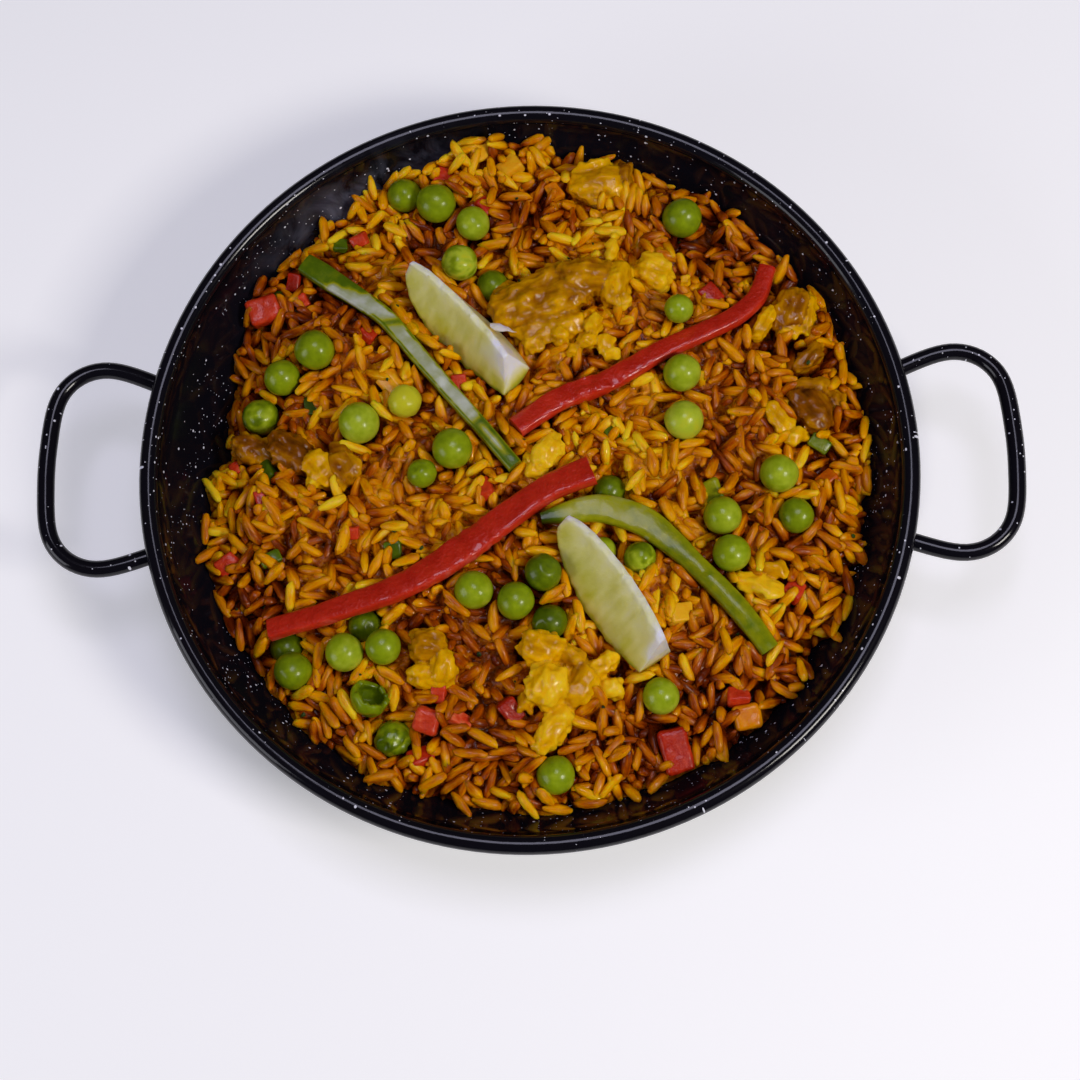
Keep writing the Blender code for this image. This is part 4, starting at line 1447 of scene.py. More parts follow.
@dataclass
class Strip:
    """A long cut of pepper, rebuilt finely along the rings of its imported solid."""

    node: str
    name: str
    finish: Finish
    thickness: float = 1.8  # from the middle to the skin
    squareness: float = 4.0  # 2 gives an oval section, and more a squarer one
    lean: float = 0.0  # how far the near edge stands up, in degrees
    ridge: float = 0.0  # height of a ridge along the last half
    wave: float = 0.25
    crinkle: float = 0.5  # the share of the length round which the skin is crinkled
    crinkle_height: float = 0.0
    cad_sides: int = 6
    cad_rounding: float = 0.935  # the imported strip's half width over the real one
    step: float = 0.7
    sides: int = 24
    crisp: float = math.radians(40.0)  # edges sharper than this aren't shaded smooth

    def rings(self) -> tuple[Array, Array]:
        """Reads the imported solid's rings.

        Returns:
            The rings' middles and the half widths there.
        """
        points = points_of(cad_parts[self.node])
        points = np.unique(np.round(points, 3), axis=0)
        flat = points[:, :2] - points[:, :2].mean(0)
        direction = np.linalg.svd(flat, full_matrices=False)[2][0]
        direction = direction if direction[0] > 0 else -direction
        order = np.argsort(flat @ direction)
        groups = points[order].reshape(-1, self.cad_sides, 3)
        middles = groups.mean(1)
        _, across = directions_along(middles)
        offsets = ((groups - middles[:, None]) * across[:, None]).sum(2)
        return middles, np.abs(offsets).max(1) / self.cad_rounding

    def build(self) -> Object:
        """Sweeps a fine section along the strip.

        Returns:
            The strip.
        """
        middles, widths = self.rings()
        reach = np.concatenate([[0.0], np.cumsum(np.linalg.norm(np.diff(middles, axis=0), axis=1))])
        places = np.linspace(0.0, reach[-1], int(reach[-1] / self.step))
        line = smooth_through(reach, middles, places)
        half = smooth_through(reach, widths[:, None], places)[:, 0]
        tangents, across = directions_along(line)
        up = np.cross(across, tangents)
        lean = math.radians(self.lean)
        across, up = (
            turned * math.cos(lean) + other * math.sin(lean)
            for turned, other in ((across, up), (up, -across))
        )
        angles = np.linspace(0.0, math.tau, self.sides, endpoint=False)
        power = 2.0 / self.squareness
        side = np.sign(np.cos(angles)) * np.abs(np.cos(angles)) ** power
        rise = np.sign(np.sin(angles)) * np.abs(np.sin(angles)) ** power
        share = places / places[-1]
        along = np.repeat(share, self.sides)
        edge = np.tile(side, len(places))
        top = np.tile(rise, len(places))
        roof = self.ridge * clamp((along - 0.35) * 4) * (1 - np.abs(edge)) * (top > 0)
        height = top * self.thickness + roof
        centre = np.repeat(line, self.sides, axis=0)
        wide = np.repeat(across, self.sides, axis=0) * (edge * np.repeat(half, self.sides))[:, None]
        points = centre + wide + np.repeat(up, self.sides, axis=0) * height[:, None]
        seed = seed_of(self.node)
        shake = self.wave * noise(points, 5.0, seed) + 0.1 * noise(points, 1.8, seed)
        near = hump(along - self.crinkle, 0.16)
        shake += self.crinkle_height * near * noise(points, 1.5, seed + 1)
        points += np.repeat(up, self.sides, axis=0) * shake[:, None]
        rows = len(places), self.sides
        faces = grid_faces(*rows, True) + end_faces(*rows)
        piece = new_piece(self.name, np.concatenate([points, line[[0, -1]]]), faces)
        along, edge, top = (
            np.concatenate([values, ends])
            for values, ends in ((along, (0.0, 1.0)), (edge, (0.0, 0.0)), (top, (0.0, 0.0)))
        )
        with editing(piece):
            bpy.ops.mesh.normals_make_consistent(inside=False)
        set_attribute(piece, "tone", self.tone(points_of(piece), along, edge, top))
        finish_piece(piece, self.finish, self.node)
        bpy.ops.object.shade_smooth_by_angle(angle=self.crisp)
        return piece

    def tone(self, points: Array, along: Array, edge: Array, top: Array) -> Array:
        """Each point's tone, by its share of the length and its place across and up, from -1 to 1."""
        blotch = 0.08 * noise(points, 5.0, 64)
        # Painted light and shade: one side face of the strip is made lighter and the other darker. The
        # blotches are the skin's own.
        return 0.6 + blotch + 0.12 * (edge > 0.9) - 0.12 * (edge < -0.9)


@dataclass
class SkinnedStrip(Strip):
    """A strip of green pepper with its skin off along the middle."""

    def tone(self, points: Array, along: Array, edge: Array, top: Array) -> Array:
        """Skin at the start and along the edges, pale flesh between ragged borders, and near the end a pale
        stripe that is a painted highlight.

        Args:
            points: The points.
            along: Each one's share of the length.
            edge: Where it lies across, from -1 to 1.
            top: Where it lies up or down, from -1 to 1.

        Returns:
            Tones from 0 to 1.
        """
        ragged = 0.16 * noise(points, 3.0, 61) + 0.1 * noise(points, 1.1, 62)
        start = 0.1 + 0.12 * np.clip(0.6 - edge, 0.0, 1.2)
        bare = clamp((along - start + 0.06 * ragged) * 30)
        bare *= clamp((edge + 0.8 + ragged) * 9)
        bare *= clamp((0.72 + ragged - edge) * 9 + np.clip((0.32 - along) * 60, 0, 9))
        bare *= 1.0 - 0.9 * hump(along - 0.375 + 0.02 * edge, 0.018)
        late = clamp((along - 0.79) * 40)
        # Painted highlight: near the end, a narrow pale stripe drawn as bare flesh on the skin.
        painted_highlight_stripe = clamp((0.34 - np.abs(edge + 0.15) + ragged) * 8) * clamp((along - 0.82) * 30)
        bare = bare * (1 - late) + late * painted_highlight_stripe * clamp((0.97 - along) * 20)
        bare *= top > 0
        border = clamp((np.abs(edge) - 0.7) * 5) * (along > 0.3)
        wash = 0.1 * noise(points, 2.4, 63)
        return 0.3 + 0.06 * ragged + 0.14 * border * (1 - bare) + (0.56 + wash) * bare


@dataclass
class OliveStrip(Strip):
    """A strip of green pepper, olive and spotted at one end and bright at the other."""

    def tone(self, points: Array, along: Array, edge: Array, top: Array) -> Array:
        """Dark at the tip, then olive with a few pale spots, then bright skin with a lit far edge.

        Args:
            points: The points.
            along: Each one's share of the length.
            edge: Where it lies across, from -1 to 1.
            top: Where it lies up or down, from -1 to 1; not used here.

        Returns:
            Tones from 0 to 1.
        """
        spots = clamp(noise(points, 1.5, 65) * 2.2 - 0.7)
        spots *= hump(along - 0.42, 0.07)
        olive = clamp((0.5 - along) * 5)
        tip = clamp((0.1 - along) * 12)
        lit = clamp((-edge - 0.55) * 4)
        blotch = 0.05 * noise(points, 4.0, 66)
        return 0.42 + 0.1 * olive + 0.25 * spots + 0.05 * lit - 0.34 * tip + blotch


def directions_along(line: Array) -> tuple[Array, Array]:
    """The unit directions along a line, and level across it, at each of its points."""
    tangents = unit(np.gradient(line, axis=0))
    return tangents, unit(np.cross(tangents, (0.0, 0.0, 1.0)))


def smooth_through(knots: Array, values: Array, places: Array) -> Array:
    """A smooth curve through values at rising knots.

    Args:
        knots: Where the values are.
        values: One row for each knot.
        places: Where the curve is read.

    Returns:
        One row for each place.
    """
    slopes = np.gradient(values, knots, axis=0)
    after = np.clip(np.searchsorted(knots, places), 1, len(knots) - 1)
    before = after - 1
    gap = (knots[after] - knots[before])[:, None]
    t = (places[:, None] - knots[before][:, None]) / gap
    pull = (3 * t**2 - 2 * t**3) * (values[after] - values[before])
    pull += (t**3 - 2 * t**2 + t) * gap * slopes[before] + (t**3 - t**2) * gap * slopes[after]
    return values[before] + pull


# --- limes


# The torn strand beside the far wedge's ridge, from its root to its tip.
SPUR = ((-9.4, 34.4, 41.6), (-2.2, 33.2, 39.6))


class Face(IntEnum):
    """The faces of a wedge."""

    LEFT = -1
    RIND = 0
    RIGHT = 1


@dataclass
class LimeWedge:
    """A seventh of a lime on its rind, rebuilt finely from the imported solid's ridge."""

    node: str
    name: str
    slant: float
    roll: float = 0.0  # how far the wedge rolls over along its length, in degrees
    lean: float = 0.0  # how far the ridge leans right where the wedge is widest
    patch: float = 0.0  # how far the white pith reaches up the ridge from the cut end
    spur: tuple[Triple, ...] = ()  # the line of a torn strand of membrane
    radius: float = 16.0
    half_angle: float = math.radians(24.5)
    widest: float = 0.58
    spread: float = 0.6
    core_half_width: float = 0.55
    stations: int = 60
    face_steps: int = 14
    rind_steps: int = 12
    crisp: float = math.radians(78.0)  # edges sharper than this aren't shaded smooth

    def bulge(self, share: float) -> float:
        """The wedge's girth at a share of its length, where 1 is the widest."""
        return math.sqrt(1.0 - ((share - self.widest) / self.spread) ** 2)

    def ridge(self) -> tuple[Array, Array]:
        """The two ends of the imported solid's ridge, the tip first."""
        points = points_of(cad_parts[self.node])
        top = points[points[:, 2] > points[:, 2].max() - 0.05]
        first = top[top[:, 1] > top[:, 1].max() - 1.0].mean(0)
        last = top[top[:, 1] < top[:, 1].min() + 1.0].mean(0)
        return first, last

    def build(self) -> Object:
        """Sweeps the wedge's section from the tip to the cut end.

        Returns:
            The wedge.
        """
        first, last = self.ridge()
        line = last - first
        start, stop = (self.lean * self.bulge(share) for share in (0.0, 1.0))
        far = float(np.linalg.norm(line))
        length = math.sqrt(far**2 - (stop - start) ** 2)
        along = (length * line + (stop - start) * np.cross(line, (0.0, 0.0, 1.0))) / far**2
        across = np.cross(along, (0.0, 0.0, 1.0))
        tip = first + across * start
        shares = np.linspace(0.0, 1.0, self.stations)
        seed = seed_of(self.node)
        section = self.section()
        points = []
        for share in shares:
            bulge = self.bulge(share)
            for depth, upright, _ in section:
                angle = upright - math.radians(self.roll) * share
                reach = depth * self.radius * bulge
                place = across * math.sin(angle) * reach
                place = place + np.array([0.0, 0.0, -math.cos(angle) * reach])
                place = place + along * self.slant * share**3 * math.cos(angle) * depth
                core = np.sign(upright) * self.core_half_width - self.lean * bulge
                points.append(tip + along * share * length + place + across * core * (1.0 - depth))
        points = np.array(points)
        count = len(section)
        depths, _, sides = (np.tile(values, self.stations) for values in zip(*section))
        points[:, 2] += 0.25 * noise(points, 3.5, seed) * (depths < 0.9)
        points[:, 2] += 0.6 * noise(points, 1.3, seed + 2) * (depths < 0.1)
        fringe = (sides == Face.RIGHT) & (depths > 0.8)
        points += across * (0.35 * noise(points, 1.6, seed + 1) * fringe)[:, None]
        faces = grid_faces(self.stations, count, True)
        faces.append(tuple(range(count)))
        faces.append(tuple((self.stations - 1) * count + i for i in range(count)))
        piece = new_piece(self.name, points, faces)
        with editing(piece):
            bpy.ops.mesh.normals_make_consistent(inside=False)
        set_attribute(piece, "tone", self.tone(points, np.repeat(shares, count), depths, sides))
        if self.spur:
            piece = self.tear(piece)
        finish_piece(piece, LIME, self.node)
        bpy.ops.object.shade_smooth_by_angle(angle=self.crisp)
        return piece

    def tear(self, wedge: Object) -> Object:
        """Adds the torn strand of membrane.

        Args:
            wedge: The wedge.

        Returns:
            The wedge with the strand.
        """
        root, end = (Vector(place) for place in self.spur)
        bpy.ops.mesh.primitive_uv_sphere_add(
            segments=14,
            ring_count=20,
            radius=0.5 * MM,
            location=(root + end) / 2 * MM,
            rotation=(end - root).to_track_quat("Z", "X").to_euler(),
            scale=(0.7, 2.0, (end - root).length),
        )
        strand = new_primitive()
        points = points_of(strand)
        share = (points - np.array(root)) @ np.array((end - root).normalized()) / (end - root).length
        middle = np.array(root) + share[:, None] * np.array(end - root)
        points = middle + (points - middle) * (1.5 - 1.3 * share)[:, None]
        move_points(strand, points + 0.3 * noise(points, 1.6, 75)[:, None])
        set_attribute(strand, "tone", np.full(len(points), 0.85))
        return join_pieces(self.name, [wedge, strand])

    def section(self) -> list[tuple[float, float, Face]]:
        """The wedge's section as (share of the radius, angle from straight down, face)."""
        steps = np.linspace(0.0, 1.0, self.face_steps)
        rind = np.linspace(-self.half_angle, self.half_angle, self.rind_steps + 2)[1:-1]
        left = [(depth, -self.half_angle, Face.LEFT) for depth in steps]
        right = [(depth, self.half_angle, Face.RIGHT) for depth in steps[::-1]]
        return [*left, *((1.0, angle, Face.RIND) for angle in rind), *right]

    def tone(self, points: Array, along: Array, depth: Array, side: Array) -> Array:
        """The colour of each point: pulp, membrane, pith or rind.

        Args:
            points: The points.
            along: Each point's share of the length.
            depth: Its share of the way from the ridge to the rind.
            side: Its face.

        Returns:
            Tones from 0 to 1.
        """
        vesicles = noise(np.column_stack([along * 42.0, depth * 4.0, side * 9.0]), 1.3, 72)
        pulp = 0.5 + 0.08 * noise(points, 7.0, 71) + 0.07 * vesicles
        pulp += np.where(side == Face.LEFT, 0.1, 0.08 - 0.28 * depth)
        ridge = clamp((0.16 - depth) * 7) * 0.16
        rind = clamp((depth - 0.93) * 14) * 0.3
        # Painted light: both ends of the wedge are made lighter where the end faces catch the lamps. The
        # pith at the cut end is its own colour.
        ends = clamp((along - 0.975) * 40) + clamp((0.03 - along) * 50)
        pith = hump(along - 1.0, max(self.patch, 0.01)) * clamp((0.7 - depth) * 4)
        tone = pulp + ridge + 0.2 * ends + 0.6 * pith - rind
        return np.where(side == Face.RIND, 0.1, tone)


# --- chicken and diced vegetable


@dataclass
class LargeDie:
    """A cut piece of vegetable as large as a pea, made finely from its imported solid."""

    node: str
    name: str
    finish: Finish
    tone: float
    voxel: float = 0.4
    bump: float = 0.22  # height of the bumps
    bump_size: float = 3.6

    def build(self) -> Object:
        """Remeshes the solid, then raises bumps on it.

        Returns:
            The piece.
        """
        piece = copy_of_node(self.node, self.name)
        apply_modifier(piece, "REMESH", mode="VOXEL", voxel_size=self.voxel * MM)
        apply_modifier(piece, "SMOOTH", factor=0.5, iterations=4)
        points, outward = points_of(piece), normals_of(piece)
        seed = seed_of(self.node)
        bumps = noise(points, self.bump_size, seed)
        bumps += 0.5 * noise(points, self.bump_size / 2.2, seed + 1)
        swell = self.bump * (bumps - 0.3)
        move_points(piece, points + outward * swell[:, None])
        # Painted shade: the raised bumps are made lighter and the dips between them darker.
        set_attribute(piece, "tone", self.tone + 0.1 * bumps)
        return finish_piece(piece, self.finish, self.node)


@dataclass(frozen=True)
class Fold:
    """One fold of torn meat: its middle and that middle's rise over the rice, its sizes and its fibres."""

    x: float
    y: float
    rise: float
    length: float
    width: float
    height: float
    heading: float  # degrees
    tone: float


@dataclass
class Meat:
    """A torn piece of chicken, built up from folds that overlap and run into each other."""

    heap: Heap
    name: str
    folds: tuple[Fold, ...]
    nodes: tuple[str, ...] = ()
    voxel: float = 0.5
    squareness: float = 0.74  # 1 gives rounded folds, and less squarer slabs
    torn: float = 0.9  # how far the folds' edges are torn in and out
    fibre: float = 0.14  # height of the fibres
    lumps: float = 0.5  # height of the bumps
    crumble: float = 1.1  # how much more the steep edges crumble

    def build(self) -> Object:
        """Melts the folds into one skin, then draws their fibres on it.

        Returns:
            The piece.
        """
        piece = join_pieces(self.name, [self.slab(fold) for fold in self.folds])
        apply_modifier(piece, "REMESH", mode="VOXEL", voxel_size=self.voxel * MM)
        apply_modifier(piece, "SMOOTH", factor=0.5, iterations=2)
        points, outward = points_of(piece), normals_of(piece)
        depths, threads, tones, places = [], [], [], []
        for number, fold in enumerate(self.folds):
            local = (points - self.middle(fold)) @ level_turn(fold.heading)
            sizes = fold.length, fold.width, fold.height
            depths.append(np.linalg.norm(local / sizes, axis=1))
            strands = noise(local * (0.22, 1.0, 1.0), 1.2, 80 + number)
            threads.append(1.0 - 2.0 * np.abs(strands))
            tones.append(np.full(len(points), fold.tone))
            places.append(local * MM + number)
        depths, every = np.array(depths), np.arange(len(points))
        nearest = depths.argmin(0)
        first = depths[nearest, every]
        depths[nearest, every] = 9.0
        crease = hump(depths.min(0) - first, 0.09)
        thread, tone = np.array(threads)[nearest, every], np.array(tones)[nearest, every]
        bumps = noise(points, 3.0, len(self.name)) + 0.7 * noise(points, 1.3, 82)
        edge = clamp(1.0 - outward[:, 2])
        crumbs = self.crumble * edge * noise(points, 1.5, 85)
        swell = self.lumps * (bumps - 0.2) + self.fibre * thread + crumbs - 0.2 * crease
        move_points(piece, points + outward * swell[:, None])
        # The crease term is partly a real stain and partly painted shade between the folds. The bump term is
        # painted shade: raised bumps are lighter and the dips darker.
        set_attribute(piece, "tone", tone + 0.12 * bumps + 0.06 * thread - 0.08 * crease)
        set_attribute(piece, "fibre", np.array(places)[nearest, every])
        return finish_piece(piece, CHICKEN, *self.nodes)

    def middle(self, fold: Fold) -> Triple:
        """Where the middle of a fold lies."""
        return fold.x, fold.y, self.heap.level_at(fold.x, fold.y) + fold.rise

    def slab(self, fold: Fold) -> Object:
        """One fold as a slab with torn edges.

        Args:
            fold: The fold.

        Returns:
            Its mesh object.
        """
        bpy.ops.mesh.primitive_uv_sphere_add(segments=24, ring_count=14, radius=MM / 2)
        slab = bpy.context.object
        ball = points_of(slab)
        body = np.sign(ball) * 0.5 * np.abs(2 * ball) ** self.squareness
        body *= (fold.length, fold.width, fold.height)
        points = body @ level_turn(fold.heading).T + self.middle(fold)
        torn = noise(points, 4.0, 83) + 0.6 * noise(points, 2.0, 84)
        torn *= self.torn * min(fold.length / 9.0, 1.0)
        move_points(slab, points + normals_of(slab) * torn[:, None])
        return slab


def chicken_pieces(heap: Heap) -> list[Meat]:
    """The ten pieces of chicken, and the crumbs that have come off them.

    Args:
        heap: The heap that they lie on.

    Returns:
        The pieces, to be built.
    """
    pieces = {
        "large": (
            (4.5, 46, 2.6, 31, 14, 8, 22, 0.46), (16, 51, 3, 18.5, 10, 9, 0, 0.47),
            (24, 48.5, 2.8, 13, 7.5, 9, 79, 0.68), (6.5, 37.5, 1, 22, 9, 7, 9, 0.62),
            (-5.5, 48.5, 1.2, 9, 6, 6, 31, 0.55), (1.5, 32.8, 1.5, 5.8, 5.4, 5, 20, 0.72),
            (8.7, 34.7, 2.4, 5.4, 4.8, 5, -30, 0.7), (17.8, 37.2, 3, 5.2, 4.8, 5, 50, 0.78),
            (16.2, 32.9, 2, 5, 4.4, 4.6, -10, 0.74), (20.7, 32.3, 1.6, 5, 4.6, 4.6, 70, 0.76),
            (22.1, 29.6, 1.2, 4.2, 3.6, 4, 10, 0.8), (25, 44, 3, 5.6, 4.8, 5, 40, 0.78),
            (12.5, 31, 1, 4.8, 4.2, 4.4, 0, 0.7),
        ),
        "far": (
            (20.2, 79.5, 1.8, 17.6, 11, 7.5, 0, 0.66), (18.7, 83, 3.2, 11.5, 5, 5, 15, 0.8),
            (20.6, 75.8, 1.6, 12.4, 5, 5, 0, 0.64), (26.5, 80.5, 2.2, 5.5, 8, 6, 0, 0.4),
        ),
        "lobed": (
            (3, -48.7, 2.6, 12, 8, 7, -16, 0.68), (4.1, -58.2, 3.4, 12.5, 10.5, 9, 59, 0.88),
            (5.2, -68.4, 2, 15, 7.4, 7.5, 56, 0.84), (12.5, -57.9, 2.4, 12, 7, 7.5, 59, 0.62),
            (17, -53.5, 1.8, 11, 5.5, 5.5, 24, 0.8), (20.4, -58.9, 1.2, 5.4, 5.6, 5, 0, 0.86),
            (-0.8, -61.2, 1.4, 7.4, 5, 6, 79, 0.56), (10.4, -51.1, 1.8, 8.5, 6, 6, -31, 0.62),
        ),
        "browned": (
            (-71.3, 6.9, 1.4, 15.5, 8, 7, -20, 0.32), (-61.3, 4.9, 2.6, 16.5, 9, 7.5, -32, 0.2),
            (-54.3, 0.3, 1.6, 11.5, 7.2, 6.5, -51, 0.62), (-55.1, -3.3, 0.8, 5.2, 4, 4, 0, 0.82),
        ),
        "clear": (
            (-47.8, 0.1, 1.4, 9.5, 7.4, 6.5, -61, 0.44), (-48.8, 3.7, 1.2, 6.2, 5.6, 5.5, 0, 0.36),
            (-49.1, -3.4, 1, 5, 4.4, 4.5, 0, 0.6),
        ),
        "right": (
            (74, 14.5, 1.2, 14, 9.6, 7, -54, 0.2), (65.3, 11.1, 1, 10.5, 5.6, 5.5, -54, 0.72),
            (69.3, 6.5, 0.8, 7, 4.6, 5, 0, 0.74), (80, 15.3, 0.6, 9.2, 6, 6, 77, 0.46),
            (73.4, 20, 1.2, 10.2, 4.8, 5.5, -12, 0.38),
        ),
        "round": (
            (70.2, 41.3, 1.6, 14, 9.6, 7.5, 69, 0.38), (74.5, 40.3, 2.2, 13.4, 4.2, 5.5, 78, 0.78),
            (69.9, 35.7, 1.6, 7.2, 4.8, 5, 0, 0.74),
        ),
        "flaked": (
            (58.2, -32.8, 1.8, 12.6, 6.2, 5.5, -17, 0.88), (61.6, -29.8, 2.2, 8.6, 3.8, 4.5, -12, 0.64),
        ),
        "small": (
            (-25.3, -47.3, 1.4, 9.2, 8.4, 7.5, 0, 0.5), (-21.7, -52.8, 1.8, 9.2, 7.4, 7, 80, 0.76),
            (-26.1, -54.5, 1.4, 8, 6.6, 6, 0, 0.7), (-28.8, -45.4, 0.8, 5.6, 4.8, 5, 80, 0.58),
        ),
        "middle": (
            (5.2, 3, 2, 12, 7, 7, 60, 0.95), (1.9, -1.6, 1.2, 5.4, 4.6, 4.6, 0, 0.92),
            (0.9, 0.8, 1.4, 4.2, 3.8, 4, 0, 0.9),
        ),
    }
    crumbs = (
        (62.2, 37.4, 1.6, 10.2, 4.4, 4.5, 59, 0.72), (73.9, 28.2, 2, 10.8, 4.6, 4.6, 45, 0.36),
        (33.8, 52.5, 1.5, 10.2, 9.2, 7, -23, 0.84), (37.3, 50.2, 2.6, 3.4, 3.4, 3.2, 0, 0.82),
        (42.3, 49.6, 2.2, 3.4, 3.4, 3.2, 0, 0.82), (22.7, 57.2, 2.6, 8.8, 3, 3, 75, 0.8),
    )
    made = [
        Meat(heap, f"{kind}_chicken_piece", tuple(Fold(*f) for f in folds), (f"chicken_{kind}",))
        for kind, folds in pieces.items()
    ]
    return [*made, Meat(heap, "chicken_crumbs", tuple(Fold(*f) for f in crumbs), fibre=0.25, lumps=0.4)]


def large_dice() -> list[LargeDie]:
    """The diced vegetables that are as large as a pea."""
    return [
        LargeDie("red_pepper_piece_near", "near_piece_of_red_pepper", RED_FLESH, 0.45),
        LargeDie("red_pepper_piece_left", "left_piece_of_red_pepper", RED_FLESH, 0.66),
        LargeDie("red_pepper_cube", "cube_of_red_pepper", RED_FLESH, 0.72),
        LargeDie("carrot_cube", "cube_of_carrot", CARROT, 0.6),
    ]


@dataclass
class Bits:
    """Small dice half sunk in the rice, all of one kind in one mesh."""

    heap: Heap
    name: str
    finish: Finish
    spots: tuple[tuple[float, float, float, float], ...]  # x, y, size, tone
    lift: float = 0.4  # how far their middles lie over the rice's level
    rounding: float = 0.13  # share of the size that rounds the edges
    uneven: float = 0.1  # share of the size

    def build(self) -> Object:
        """Models each bit and joins them.

        Returns:
            The joined piece.
        """
        rng = np.random.default_rng(seed_of(self.name))
        made = []
        for x, y, size, tone in self.spots:
            level = self.heap.level_at(x, y) + self.lift
            bpy.ops.mesh.primitive_cube_add(
                size=1.0,
                location=(x * MM, y * MM, level * MM),
                rotation=(rng.uniform(-0.5, 0.5), rng.uniform(-0.5, 0.5), rng.uniform(0, math.tau)),
                scale=np.array((rng.uniform(0.9, 1.25), rng.uniform(0.7, 1.0), 0.7)) * size * MM,
            )
            bit = new_primitive()
            with editing(bit):
                bpy.ops.mesh.bevel(offset=self.rounding * size * MM, segments=3, affect="EDGES")
                bpy.ops.mesh.subdivide(number_cuts=2)
            points, outward = points_of(bit), normals_of(bit)
            uneven = self.uneven * size * noise(points, 0.6 * size, 9)
            move_points(bit, points + outward * uneven[:, None])
            set_attribute(bit, "tone", tone + 0.12 * noise(points, 1.6, 10))
            made.append(bit)
        return finish_piece(join_pieces(self.name, made), self.finish)


def small_bits(heap: Heap) -> list[Bits]:
    """The dice that are smaller than a pea, kind by kind.

    Args:
        heap: The heap that they lie in.

    Returns:
        The kinds, to be built.
    """
    red = (
        (-60, 48, 4, 0.66), (-63, 54, 4.5, 0.3), (-45, 65, 4, 0.66), (-22, 82, 5.6, 0.68),
        (-11, 73, 4.4, 0.55), (-42, 37, 4.2, 0.6), (-18, 23, 4.4, 0.66), (-11, -6, 5, 0.66),
        (-46, -17, 4.2, 0.66), (-70, -7, 4.2, 0.55), (-79, -23, 5.6, 0.66), (-78, 3, 3.2, 0.66),
        (-23, -59, 4.4, 0.66), (-18, -66, 5, 0.8), (-5, -64, 6, 0.38), (-28, -75, 6.4, 0.55),
        (52, -61, 6, 0.68), (67, -34, 5.4, 0.66), (49, 46, 5.6, 0.45),
    )
    orange = (
        (77, -5, 5.4, 0.35), (8, 77, 4.4, 0.55), (-12, 89, 5.4, 0.95), (-4, 84, 5.4, 0.92),
        (-36, 23, 6.4, 0.85), (38, -40, 5.6, 1),
    )
    green = (
        (-57, 19, 5, 0.1), (-67, -23, 4.6, 0.3), (-35, -22, 5, 0.25), (47, -8, 6, 0.45),
        (-66, 50, 5.2, 0.28), (75.6, 5.2, 5, 0.34), (21.4, 9.2, 5, 0.34), (-68.5, 0.7, 5, 0.18),
        (-50.5, 64.4, 3.6, 0.25),
    )
    return [
        Bits(heap, "small_dice_of_red_pepper", RED_FLESH, red),
        Bits(heap, "small_dice_of_carrot", CARROT, orange),
        Bits(heap, "scraps_of_green_pepper", GREEN_PEPPER, green, -0.4),
    ]


@dataclass
class Specks:
    """Chopped parsley and ground pepper, scattered on whatever lies on top."""

    surface: BVHTree
    name: str
    count: int
    size: tuple[float, float]
    tone: float
    seed: int
    sides: int = 6
    reach: float = 86.0  # how far from the centre they fall
    flattest: float = 0.3  # they slide off where the surface's normal points up less than this
    lift: float = 0.05

    def build(self) -> Object:
        """Lays thin flakes on the food.

        Returns:
            The joined flakes.
        """
        rng = np.random.default_rng(self.seed)
        sides = self.sides
        angles = np.linspace(0, math.tau, sides, False)
        rim = np.array([(math.cos(angle), math.sin(angle)) for angle in angles])
        points, faces, tones = [], [], []
        while len(points) < self.count:
            radius, angle = self.reach * math.sqrt(rng.random()), rng.uniform(0, math.tau)
            above = Vector((radius * math.cos(angle), radius * math.sin(angle), ABOVE))
            hit, normal, _, _ = self.surface.ray_cast(above, DOWN)
            if hit is None or normal.z < self.flattest:
                continue
            size = rng.uniform(*self.size)
            turn = normal.to_track_quat("Z", "Y").to_matrix()
            turn = np.array(turn @ Matrix.Rotation(rng.uniform(0, math.tau), 3, "Z"))
            outline = rim * rng.uniform(0.5, 1.0, (sides, 1)) * size / 2 * (1.0, rng.uniform(0.4, 0.9))
            curl = (rng.uniform(-0.1, 0.25, sides) * size).clip(-0.03) + self.lift
            upper = np.column_stack([outline, curl + 0.12 * size])
            lower = np.column_stack([outline * 0.9, curl - 0.05 * size])
            hubs = [(0, 0, 0.15 * size + self.lift), (0, 0, -0.05)]
            flake = np.concatenate([upper, lower, hubs])
            start = len(points) * len(flake)
            points.append(flake @ turn.T + np.array(hit))
            for here in range(sides):
                after = (here + 1) % sides
                loop = (here, after, 2 * sides), (sides + after, sides + here, 2 * sides + 1)
                wall = (sides + here, sides + after, after, here)
                faces += [tuple(start + number for number in face) for face in (*loop, wall)]
            tones.append(np.full(len(flake), self.tone + rng.uniform(-0.15, 0.15)))
        piece = new_piece(self.name, np.concatenate(points), faces)
        set_attribute(piece, "tone", np.concatenate(tones))
        return finish_piece(piece, HERB)


# --- studio


@dataclass(frozen=True)
class SoftBox:
    """A square soft light: its place, the length of its sides, its power in watts and its colour."""

    name: str
    place: Triple
    side: float
    power: float
    colour: str


